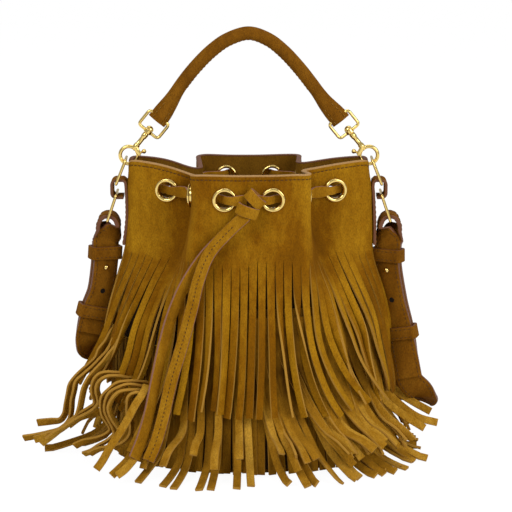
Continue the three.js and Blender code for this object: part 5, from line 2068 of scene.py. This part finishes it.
@dataclass
class SideFittings:
    """Tabs, rings and swivel hooks on both sides."""

    surface: BodySurface
    finishes: Finishes
    strips: StripMaker
    stitches: StitchMaker
    hooks: HookPlace = field(default_factory=HookPlace)
    tab_width: float = 16.0
    tab_thickness: float = 2.2
    tab_foot: float = 160.0
    tab_bend: float = 204.0
    tab_end: float = 196.0
    tab_seam: Triple = (162.0, 192.0, 2.2)
    loop_x: float = 98.3
    loop_foot: float = 196.8
    loop_top: float = 207.5
    ring_wire: float = 1.2
    ring_slack: float = 0.1
    ring_corner: float = 1.8
    ring_play: float = 0.5
    lower_foot: Pair = (105.0, 178.5)
    strap_width: float = 20.0
    bow_radius: float = 6.5
    bow_wire: float = 1.4
    bow_sweep: float = 262.0
    shank_length: float = 14.5
    shank_radius: float = 2.3
    neck: float = 1.4
    head: float = 3.0
    gate_wire: float = 1.1
    gate_gap: float = 0.9
    gate_arc_end: float = 320.0
    gate_pivot: Pair = (5.6, 4.7)
    gate_thumb: Pair = (9.4, 7.0)
    pin: float = 0.7
    cheek_half: float = 0.45
    eye_width: float = 18.0
    eye_length: float = 13.6
    eye_wire: float = 1.2
    eye_corner: float = 2.6
    boss: Pair = (3.2, 3.2)
    gap: float = 0.3

    def build(self) -> None:
        """Builds and dresses both sides."""
        for side in Side:
            self._tab(side)
            self._rings(side)
            self._eye(side)
            self._hook(side)
            self._gate(side)

    def _tab(self, side: Side) -> None:
        """The tab, a strip sewn to the side seam and folded into a loop.

        Args:
            side: Side of the bag.
        """
        half = self.tab_thickness / 2
        play = self.ring_wire + 2 * self.gap + self.ring_play
        turn = play + half
        bend, top = self._hug(side, self.tab_bend), self.loop_top + half
        quarter = np.linspace(0, math.pi / 2, 7)
        line = [(self._hug(side, z), z) for z in np.linspace(self.tab_foot, self.tab_bend, 10)]
        line += [(bend + 0.4, top - 1.4), (bend + 2.0, top)]
        upper, lower = self.loop_top - play, self.loop_foot + play
        line += [(self.loop_x + turn * math.sin(a), upper + turn * math.cos(a)) for a in quarter]
        line += [(self.loop_x + turn * math.cos(a), lower - turn * math.sin(a)) for a in quarter]
        line += [(self._hug(side, self.tab_end) + 2.4, self.loop_foot - half)]
        path = np.array([(side * x, 0.0, z) for x, z in line])
        lines = Lines()
        lines.add(path, np.cross(tangents(path), [0.0, 1.0, 0.0]) * side)
        face, edge = self.finishes.strap, self.finishes.painted
        size = (self.tab_width, self.tab_thickness)
        piece = self.strips.make(f"tab_{side.label}", lines, *size, face, edge, 0.5)
        settle(piece, BAG, Slot.STRAP, [f"side_tab_{side.label}"])
        sewn = Lines()
        foot, head, inset = self.tab_seam
        for y in (inset - self.tab_width / 2, self.tab_width / 2 - inset):
            run = [(side * (self._hug(side, z) + half), y, z) for z in np.linspace(foot, head, 12)]
            sewn.add(np.array(run), (side, 0.0, 0.0))
        thread = self.stitches.make(f"tab_{side.label}_stitches", sewn, self.finishes.thread)
        settle(thread, BAG, Slot.STRAP)

    def _hug(self, side: Side, z: float) -> float:
        """Distance of the tab's middle from the bag's middle where it lies on the side seam."""
        wall = self.surface.wall(0.25 * side, z, self.surface.skin_faces[1] + 0.1)
        return abs(float(wall[0])) + self.tab_thickness / 2

    def _metal(self, parts: MeshParts, name: str, node: str) -> None:
        """Makes a metal piece that rides on the body of its solid."""
        settle(parts.piece(name, self.finishes.gold), node, Slot.BRASS, [node])

    def _ring(self, side: Side, upper: Sequence[float], lower: Sequence[float], half: float) -> MeshParts:
        """A ring between two bars.

        Args:
            side: Side of the bag.
            upper: x and z of the upper bar.
            lower: x and z of the lower bar.
            half: Half its width.

        Returns:
            The ring.
        """
        ends = ((upper, -half), (upper, half), (lower, half), (lower, -half))
        corners = [np.array([side * x, y, z]) for (x, z), y in ends]
        normal = np.cross(corners[1] - corners[0], corners[3] - corners[0])
        parts = MeshParts()
        wire = self.ring_wire - self.ring_slack
        parts.sweep(rounded_loop(corners, self.ring_corner), unit(normal), wire, wire, 16, True)
        return parts

    def _rings(self, side: Side) -> None:
        """The ring to the hook and the ring to the strap.

        Args:
            side: Side of the bag.
        """
        wire, play = self.ring_wire, self.ring_play + self.ring_wire
        top = self.hooks.at(Side.RIGHT, self.bow_wire + self.gap + wire - self.bow_radius, 0)
        bar = (self.loop_x, self.loop_top - self.gap - wire)
        upper = self._ring(side, (top[0], top[2]), bar, self.tab_width / 2 + play)
        self._metal(upper, f"hook_ring_{side.label}", f"upper_ring_{side.label}")
        bar = (self.loop_x, self.loop_foot + self.gap + wire)
        lower = self._ring(side, bar, self.lower_foot, self.strap_width / 2 + play)
        self._metal(lower, f"strap_ring_{side.label}", f"lower_ring_{side.label}")

    @property
    def boss_middle(self) -> float:
        """Distance from the bow's centre up to the middle of the eye's boss."""
        return self.bow_radius + self.shank_length + self.gap + self.boss[1] / 2

    @property
    def eye_top(self) -> float:
        """Distance from the bow's centre up to the eye's upper bar."""
        return self.boss_middle + self.eye_length

    def _up(self, side: Side) -> Array:
        """Direction up a hook's shank."""
        return self.hooks.at(side, 1, 0) - self.hooks.at(side, 0, 0)

    def _eye(self, side: Side) -> None:
        """The swivel eye: a rounded loop with a boss.

        Args:
            side: Side of the bag.
        """
        half = self.eye_width / 2
        at, top, foot = self.hooks.at, self.eye_top, self.boss_middle
        ends = ((top, -half), (top, half), (foot, half), (foot, -half))
        loop = rounded_loop([at(side, *end) for end in ends], self.eye_corner)
        parts = MeshParts()
        parts.sweep(loop, (0, 1, 0), self.eye_wire, self.eye_wire, 16, True)
        radius, length = self.boss
        bore = self.neck + self.gap
        edge = 0.4
        profile = [
            (bore, 0), (radius - edge, 0), (radius, edge),
            (radius, length - edge), (radius - edge, length), (bore, length),
        ]
        parts.lathe(profile, at(side, foot - length / 2, 0), self._up(side), 32, closed=True)
        self._metal(parts, f"eye_{side.label}", f"swivel_eye_{side.label}")

    def _hook(self, side: Side) -> None:
        """Bow, shank, head and the gate's cheeks.

        Args:
            side: Side of the bag.
        """
        at, r = self.hooks.at, self.bow_radius
        parts = MeshParts()
        share = np.linspace(0, 1, 60)
        swell, taper = 1 + 0.14 * np.sin(math.pi * share), 1 - 0.25 * smoothstep(share, 0.8, 1)
        wire = np.minimum(self.bow_wire * swell * taper, self.bow_wire)
        parts.sweep(self._arc(side, 0, self.bow_sweep, 60), (0, 1, 0), wire, wire, 16)
        foot = r - self.bow_wire
        top = self.shank_length + self.bow_wire
        head = top + self.gap + self.boss[1] + self.gap
        s, n, h = self.shank_radius, self.neck, self.head
        profile = [
            (0, 0), (1.2, 0), (1.7, 1.2), (s, 2.6), (s, 5.0), (s * 0.8, 5.6), (s * 0.8, top - 4.2),
            (s, top - 3.6), (s, top - 0.5), (s - 0.4, top), (n, top), (n, head), (h - 0.2, head),
            (h, head + 0.35), (h * 0.9, head + 1.2), (h * 0.6, head + 2.1), (h * 0.25, head + 2.6),
            (0, head + 2.7),
        ]
        parts.lathe(profile, at(side, foot, 0), self._up(side), 32)
        cheek = self.gate_wire + self.gap
        a, b = self.gate_pivot
        pin = np.array([at(side, a, b, -cheek - 1.1), at(side, a, b, cheek + 1.1)])
        parts.sweep(pin, self._up(side), self.pin, self.pin, 16)
        for face in (-1, 1):
            y = face * (cheek + self.cheek_half)
            line = [at(side, *place, y) for place in ((r + s - 1.2, 0.4), (a, b), (a - 0.9, b + 1.1))]
            parts.sweep(line, (0, 1, 0), np.array([1.5, 1.6, 0.9]), self.cheek_half, 12)
        self._metal(parts, f"snap_hook_{side.label}", f"hook_{side.label}")

    def _arc(self, side: Side, start: float, end: float, count: int) -> Array:
        """Points of the bow's middle line between two angles in degrees from the shank."""
        angles, r = np.radians(np.linspace(start, end, count)), self.bow_radius
        return np.array([self.hooks.at(side, r * math.cos(a), -r * math.sin(a)) for a in angles])

    def _gate(self, side: Side) -> None:
        """The sprung gate with its thumb knob.

        Args:
            side: Side of the bag.
        """
        pivot, knob = self.hooks.at(side, *self.gate_pivot), self.hooks.at(side, *self.gate_thumb)
        start = self.bow_sweep + math.degrees(self.gate_gap / self.bow_radius)
        line = np.vstack([self._arc(side, start, self.gate_arc_end, 20), [pivot]])
        parts = MeshParts()
        parts.sweep(spline(line, 30), (0, 1, 0), self.gate_wire, self.gate_wire, 14)
        knuckle = [(1.0, -1.1), (1.8, -1.1), (2.0, -0.9), (2.0, 0.9), (1.8, 1.1), (1.0, 1.1)]
        parts.lathe(knuckle, pivot, (0, 1, 0), 28, closed=True)
        lever = [
            (0, 1.2), (0.9, 1.2), (0.8, 2.2), (1.0, 3.0), (1.6, 3.5), (1.75, 4.3), (1.6, 5.1), (1.0, 5.8),
            (0, 6.0),
        ]
        parts.lathe(lever, pivot, unit(knob - pivot), 24)
        self._metal(parts, f"hook_gate_{side.label}", f"gate_{side.label}")


@dataclass
class Handle:
    """The rolled handle, flattened and sewn at its ends."""

    fittings: SideFittings
    finishes: Finishes
    stitches: StitchMaker
    radius: float = 5.0
    end_thickness: float = 6.0
    end_length: float = 30.0
    end_lap: float = 3.6
    crown: float = 317.0
    sides: int = 40
    seam_start: float = 34.0
    lap_points: int = 16
    lap_inset: float = 3.0
    stitch: Triple = (3.2, 2.5, 0.7)
    left_line: Table = ((-15.5, 312.4), (-27, 304.4), (-39.4, 292), (-50, 278.6), (-58.4, 265.5))
    right_line: Table = ((14.2, 312.4), (25, 304.2), (36.8, 291.6), (47.6, 277.8), (57, 265.0))

    def build(self) -> None:
        """Builds and dresses the handle."""
        at, top = self.fittings.hooks.at, self.fittings.eye_top
        left, right = ([
            *[(x, 0.0, z) for x, z in line],
            tuple(at(side, top, 0)),
            tuple(at(side, top - self.end_lap, 0)),
        ] for side, line in zip(Side, (self.left_line, self.right_line)))
        stops = [*reversed(left), (0.0, 0.0, self.crown), *right]
        path = spline(stops, 181)
        run = run_along(path)
        from_end = np.minimum(run, run[-1] - run)
        flat = 1 - smoothstep(from_end, self.end_lap, self.end_length)
        end_half = self.fittings.eye_width / 2 - self.fittings.eye_wire - 0.5
        wide = self.radius + (end_half - self.radius) * flat
        deep = self.radius + (self.end_thickness / 2 - self.radius) * flat
        crease = 0.16 * np.sin(run / 3.1) * hump(from_end, 40, 26) + 0.1 * np.sin(run / 1.7 + 1)
        deep = deep + crease * (1 - flat)
        along = tangents(path)
        out = np.broadcast_to(np.array([0.0, 1.0, 0.0]), path.shape)
        across = np.cross(along, out)
        angle = np.arange(self.sides) / self.sides * 2 * math.pi
        square = 1 - 0.12 * flat[:, None] * (1 - np.abs(np.cos(2 * angle))[None])
        seam = 1 - 0.05 * np.exp(-(((angle - math.pi) / 0.12) ** 2))[None] * (1 - flat[:, None])
        scale = square * seam
        rings = (
            path[:, None]
            + across[:, None] * (wide[:, None] * np.cos(angle)[None] * scale)[..., None]
            + out[:, None] * (deep[:, None] * np.sin(angle)[None] * scale)[..., None]
        )
        parts = MeshParts()
        parts.rings(rings)
        piece = parts.piece("rolled_handle", self.finishes.strap)
        settle(piece, "handle", Slot.STRAP, ["handle"])
        sewn = Lines()
        inner = from_end > self.seam_start
        sewn.add((path - across * (wide * 0.97)[:, None])[inner], -across[inner])
        for face in (-1, 1):
            for end in (slice(0, self.lap_points), slice(len(path) - self.lap_points, len(path))):
                for edge in (-1, 1):
                    lap = path[end] + across[end] * (edge * (wide[end] - self.lap_inset))[:, None]
                    lap = lap + out[end] * (face * deep[end] * 0.93)[:, None]
                    sewn.add(lap[2:-2], out[end][2:-2] * face)
        thread = self.stitches.make("handle_stitches", sewn, self.finishes.thread, *self.stitch)
        settle(thread, "handle", Slot.STRAP)


@dataclass
class ShoulderStrap:
    """The shoulder strap with its keepers and studs."""

    fittings: SideFittings
    finishes: Finishes
    strips: StripMaker
    stitches: StitchMaker
    width: float = 20.0
    thickness: float = 3.0
    ply_gap: float = 0.8
    loop_half: float = 7.2
    keeper_height: float = 10.0
    keeper_thickness: float = 2.0
    stud_head: float = 2.1
    stud_neck: float = 1.5
    keeper_play: Pair = (0.6, 0.3)
    keeper_corner: float = 2.2
    stud_play: float = 0.3
    stitch_inset: float = 2.4
    stitch: Triple = (3.6, 2.8, 0.7)
    keeper_stitch: Triple = (3.2, 2.4, 0.65)
    routes: tuple[Table, ...] = (
        ((-121, 0.493), (-117.2, 0.602), (-111.5, 0.695), (-108.8, 0.796), (-107.8, 0.857), (-107.4, 0.91)),
        ((122, 0.297), (115, 0.51), (109, 0.655), (105, 0.784), (104, 0.846), (104.6, 0.899)),
    )
    turn_in: tuple[float, ...] = (0.1, 0.38, 0.52, 0.55, 0.5, 0.3)
    tail_lift: float = 3.0
    back_run: tuple = (
        ((-122, 4, 0.448), (-0.5, 0.75, 0.35)), ((-120, 18, 0.415), (-0.9, 0.3, 0.3)),
        ((-118, 44, 0.381), (-1, 0.15, 0)), ((-105, 88, 0.269), (-0.8, 0.6, 0)),
        ((-66, 122, 0.168), (-0.45, 0.9, 0)), ((-12, 135, 0.101), (-0.05, 1, 0)),
        ((44, 131, 0.084), (0.3, 0.95, 0)), ((94, 106, 0.106), (0.7, 0.7, 0)),
        ((124, 66, 0.157), (0.95, 0.3, 0)), ((135, 42, 0.192), (1, 0.1, 0.05)),
        ((137, 24, 0.2), (0.85, 0.4, 0.35)), ((134.5, 10, 0.212), (0.3, 0.75, 0.55)),
        ((129.5, 4, 0.25), (0.08, 1.0, 0.15)),
    )

    def __post_init__(self) -> None:
        """Turns the routes' shares of the ring's height into heights."""
        high = self.fittings.lower_foot[1]
        self.lines = [
            (side, [(x, share * high) for x, share in route]) for side, route in zip(Side, self.routes)
        ]
        self.behind = [((x, y, share * high), look) for (x, y, share), look in self.back_run]

    @property
    def ply(self) -> float:
        """Distance of each layer's middle from the pair's middle."""
        return (self.ply_gap + self.thickness) / 2

    def build(self) -> None:
        """Builds and dresses the pieces."""
        left, right = self.lines
        stops = [*self._side(*left), *self.behind, *reversed(self._side(*right))]
        places = np.array([p for p, _ in stops], float)
        faces = np.array([f for _, f in stops], float)
        path, looks = self._smooth(places, faces, 14)
        lines = Lines()
        lines.add(path, looks)
        face, edge = self.finishes.strap, self.finishes.painted
        piece = self.strips.make("strap", lines, self.width, self.thickness, face, edge, 0.7)
        settle(piece, BAG, Slot.STRAP, ["shoulder_strap"])
        out = squared(tangents(path), looks)
        across = np.cross(tangents(path), out)
        sewn = Lines()
        aside, above = across * (self.width / 2 - self.stitch_inset), out * (self.thickness / 2 + 0.02)
        for edge in (-1, 1):
            for face in (-1, 1):
                sewn.add(path + aside * edge + above * face, out * face)
        thread = self.stitches.make("strap_stitches", sewn, self.finishes.dark_thread, *self.stitch)
        settle(thread, BAG, Slot.STRAP)
        for side, line in self.lines:
            self._keeper(f"keeper_upper_{side.label}", line, 4, f"upper_keeper_{side.label}")
            self._keeper(f"keeper_lower_{side.label}", line, 1, f"lower_keeper_{side.label}")
            self._stud(side.label, line)

    @staticmethod
    def _smooth(places: Array, faces: Array, steps: int) -> tuple[Array, Array]:
        """A curve through the stops that keeps each stop's facing.

        Args:
            places: Points.
            faces: The way the outer face looks at each point.
            steps: Points from stop to stop.

        Returns:
            Points and facings.
        """
        points = with_ends(places)
        share = np.linspace(0, 1, steps, endpoint=False)
        ease = smoothstep(share, 0, 1)[:, None]
        path = [centripetal(points[i : i + 4], share) for i in range(len(places) - 1)]
        looks = [before * (1 - ease) + after * ease for before, after in zip(faces, faces[1:])]
        return np.vstack([*path, places[-1:]]), np.vstack([*looks, faces[-1:]])

    def _side(self, side: Side, line: Stops) -> list:
        """Stops of one side, from the tail end up, over the ring and down again.

        Args:
            side: Side of the bag.
            line: x and z of the side's stops.

        Returns:
            Places and facings.
        """
        tail, main = [], []
        for i, (x, z) in enumerate(line):
            turn = self.turn_in[i]
            face = np.array([-side * math.sin(turn), -math.cos(turn), 0.0])
            if i == 0:
                lift = self.tail_lift / (line[1][1] - z)
                tail.append(((x + (line[1][0] - x) * lift, 0, z + self.tail_lift) + face * self.ply, face))
            else:
                tail.append(((x, 0, z) + face * self.ply, face))
            main.insert(0, ((x, 0, z) - face * self.ply, -face))
        ring_x, ring_z = self.fittings.lower_foot
        top_x, top_z = line[-1]
        loop_top = ring_z + self.fittings.ring_wire + 2 * self.fittings.gap + self.thickness / 2
        inner, outer = side * (ring_x - self.loop_half), side * (ring_x + self.loop_half)
        lift = loop_top - top_z
        return [
            *tail,
            (((top_x + inner) / 2, -0.6 * self.ply, top_z + 0.28 * lift), (-0.7 * side, -0.7, 0)),
            ((inner, 0, top_z + 0.56 * lift), (-side, 0, 0)),
            ((side * (ring_x - 0.62 * self.loop_half), 0, top_z + 0.92 * lift), (-0.7 * side, 0, 0.7)),
            ((side * ring_x, 0, loop_top), (0, 0, 1)),
            ((side * (ring_x + 0.62 * self.loop_half), 0, top_z + 0.92 * lift), (0.7 * side, 0, 0.7)),
            ((outer, 0, top_z + 0.56 * lift), (side, 0, 0)),
            (((top_x + outer) / 2, 0.6 * self.ply, top_z + 0.28 * lift), (0.7 * side, 0.7, 0)),
            *main,
        ]

    def _at(self, line: Stops, index: int) -> tuple[Array, Array, Array]:
        """Where the strap is at a stop of a side.

        Args:
            line: The side's stops.
            index: Number of the stop.

        Returns:
            The stop, the way the strap runs there, and the way its front looks.
        """
        (x, z), (x0, z0), (x1, z1) = line[index], line[index - 1], line[index + 1]
        along = unit(np.array([x1 - x0, 0.0, z1 - z0]))
        turn = self.turn_in[index]
        front = np.array([-math.copysign(math.sin(turn), x), -math.cos(turn), 0.0])
        return np.array([x, 0.0, z]), along, unit(front - along * (front @ along))

    def _keeper(self, name: str, line: Stops, index: int, node: str) -> None:
        """A band round both layers.

        Args:
            name: Name of the piece.
            line: The side's stops.
            index: Stop at which it sits.
            node: Solid that it replaces.
        """
        place, along, front = self._at(line, index)
        across = np.cross(along, front)
        half = self.keeper_thickness / 2
        w = self.width / 2 + self.keeper_play[0] + half
        d = self.ply + self.thickness / 2 + self.keeper_play[1] + half
        signs = ((-1, -1), (1, -1), (1, 1), (-1, 1))
        corners = [place + across * sx * w - front * sy * d for sx, sy in signs]
        loop = rounded_loop(corners, self.keeper_corner, 9)
        fine = spline(loop, 96, closed=True)
        looks = np.cross(tangents(fine, True), along)
        looks = looks * np.sign((looks * (fine - place)).sum(1, keepdims=True))
        lines = Lines()
        lines.add(fine, looks, 0.0, loop=True)
        face, cut = self.finishes.strap, self.finishes.painted
        piece = self.strips.make(name, lines, self.keeper_height, self.keeper_thickness, face, cut, 0.6)
        settle(piece, BAG, Slot.STRAP, [node])
        sewn = Lines()
        for edge in (-1, 1):
            steps = np.linspace(-1, 1, 12)[:, None]
            sewn.add(place + across * steps * (w - 3) + along * edge * 3.1 + front * (d + half), front)
        thread = self.stitches.make(f"{name}_stitches", sewn, self.finishes.dark_thread, *self.keeper_stitch)
        settle(thread, BAG, Slot.STRAP)

    def _stud(self, label: str, line: Stops) -> None:
        """The stud that holds the strap's end, and a near-black disc on the strap under it: painted shadow for
        the spare hole.

        Args:
            label: Name of the side.
            line: The side's stops.
        """
        place, _, front = self._at(line, 3)
        seat = self.ply + self.thickness / 2 + self.stud_play
        r, n = self.stud_head, self.stud_neck
        profile = [
            (0, -seat - 1), (r - 0.2, -seat - 1), (r, -seat - 0.8), (r, -seat), (n, -seat), (n, seat),
            (r - 0.3, seat), (r, seat + 0.35), (r * 0.94, seat + 1.0), (r * 0.7, seat + 1.6),
            (r * 0.35, seat + 1.95), (0, seat + 2.0),
        ]
        parts = MeshParts()
        parts.lathe(profile, place, front, 32)
        settle(parts.piece(f"stud_{label}", self.finishes.gold), BAG, Slot.BRASS, [f"strap_stud_{label}"])
        hole, _, front = self._at(line, 2)
        # The spare hole is not cut: a thin dark disc on the strap's face paints its shadow.
        ring = MeshParts()
        mouth = hole + front * (self.ply + self.thickness / 2 + 0.02)
        ring.lathe([(0, 0), (1.7, 0), (1.95, 0.1), (1.8, 0.22), (1.4, 0.12), (0, 0.08)], mouth, front, 24)
        settle(ring.piece(f"strap_hole_{label}", self.finishes.hole), BAG, Slot.STRAP)


# Stage


@dataclass
class Studio:
    """Camera, floor and light."""

    target: Triple = (5.25, 0.0, 149.8)
    distance: float = 1550.0
    elevation: float = 12.5
    frame_width: float = 384.0

    def build(self) -> None:
        """Builds the stage."""
        self._camera()
        self._floor()
        self._light()

    def _camera(self) -> None:
        """The camera at the photograph's angle."""
        data = bpy.data.cameras.new("camera")
        data.sensor_width = 36.0
        data.sensor_fit = "HORIZONTAL"
        data.lens = 36.0 * self.distance / self.frame_width
        data.clip_end = 20.0
        camera = bpy.data.objects.new("camera", data)
        bpy.context.scene.collection.objects.link(camera)
        rise = math.radians(self.elevation)
        ahead = Vector((0.0, math.cos(rise), -math.sin(rise)))
        camera.location = (Vector(self.target) - ahead * self.distance) * MM
        camera.rotation_euler = ahead.to_track_quat("-Z", "Y").to_euler()
        bpy.context.scene.camera = camera

    @staticmethod
    def _floor() -> None:
        """A pale floor that is white to the camera and still takes a soft shadow."""
        mesh = bpy.data.meshes.new("floor")
        mesh.from_pydata([(-3, -3, 0), (3, -3, 0), (3, 3, 0), (-3, 3, 0)], [], [(0, 1, 2, 3)])
        floor = bpy.data.objects.new("floor", mesh)
        bpy.context.scene.collection.objects.link(floor)
        material, shader = new_material("pale_floor")
        tree = material.node_tree
        feed(tree, shader, {"Base Color": (0.86, 0.86, 0.86, 1), "Roughness": 0.9})
        glow = add_node(tree, "ShaderNodeEmission", {"Color": (1, 1, 1, 1), "Strength": 1.08})
        path = add_node(tree, "ShaderNodeLightPath").outputs
        seen = maths(tree, "MAXIMUM", path["Is Camera Ray"], path["Is Glossy Ray"])
        share = maths(tree, "MULTIPLY", seen, 0.88)
        shaders = {"Fac": share, 1: shader.outputs["BSDF"], 2: glow.outputs["Emission"]}
        mixed = add_node(tree, "ShaderNodeMixShader", shaders)
        feed(tree, tree.nodes["Material Output"], {"Surface": mixed.outputs["Shader"]})
        mesh.materials.append(material)

    @staticmethod
    def _light() -> None:
        """A soft white surround and three large lamps."""
        scene = bpy.context.scene
        world = bpy.data.worlds.new("studio")
        scene.world = world
        world.use_nodes = True
        tree = world.node_tree
        path = add_node(tree, "ShaderNodeLightPath").outputs
        seen = maths(tree, "MAXIMUM", path["Is Camera Ray"], path["Is Transmission Ray"])
        level = ranged(tree, seen, (0.0, 1.0), (0.44, 1.0))
        feed(tree, tree.nodes["Background"], {"Color": (1, 1, 1, 1), "Strength": level})
        for name, place, size, power in (
            ("key", (-0.9, -1.3, 1.5), 0.9, 14.0),
            ("fill", (1.2, -1.2, 0.9), 0.9, 13.0),
            ("top", (0.1, 0.5, 1.7), 1.2, 8.0),
        ):
            data = bpy.data.lights.new(name, "AREA")
            data.size = size
            data.energy = power
            lamp = bpy.data.objects.new(name, data)
            scene.collection.objects.link(lamp)
            lamp.location = place
            lamp.rotation_euler = (Vector((0, 0, 0.15)) - Vector(place)).to_track_quat("-Z", "Y").to_euler()
        scene.view_settings.view_transform = "Standard"


def main() -> None:
    """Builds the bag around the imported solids."""
    logging.basicConfig(level=logging.INFO, format="%(message)s")
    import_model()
    Studio().build()
    finishes = Finishes()
    surface = BodySurface()
    strips, stitches, fittings = StripMaker(), StitchMaker(), FittingMaker()
    eyelets = EyeletRow(surface)
    Drawstring(surface, finishes, strips, stitches, fittings, eyelets).build()
    BagBody(surface, finishes, strips, stitches, eyelets).build()
    LowerFringe(surface, finishes, strips).build()
    sides = SideFittings(surface, finishes, strips, stitches)
    sides.build()
    Handle(sides, finishes, stitches).build()
    ShoulderStrap(sides, finishes, strips, stitches).build()
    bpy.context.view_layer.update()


if __name__ == "__main__":
    main()
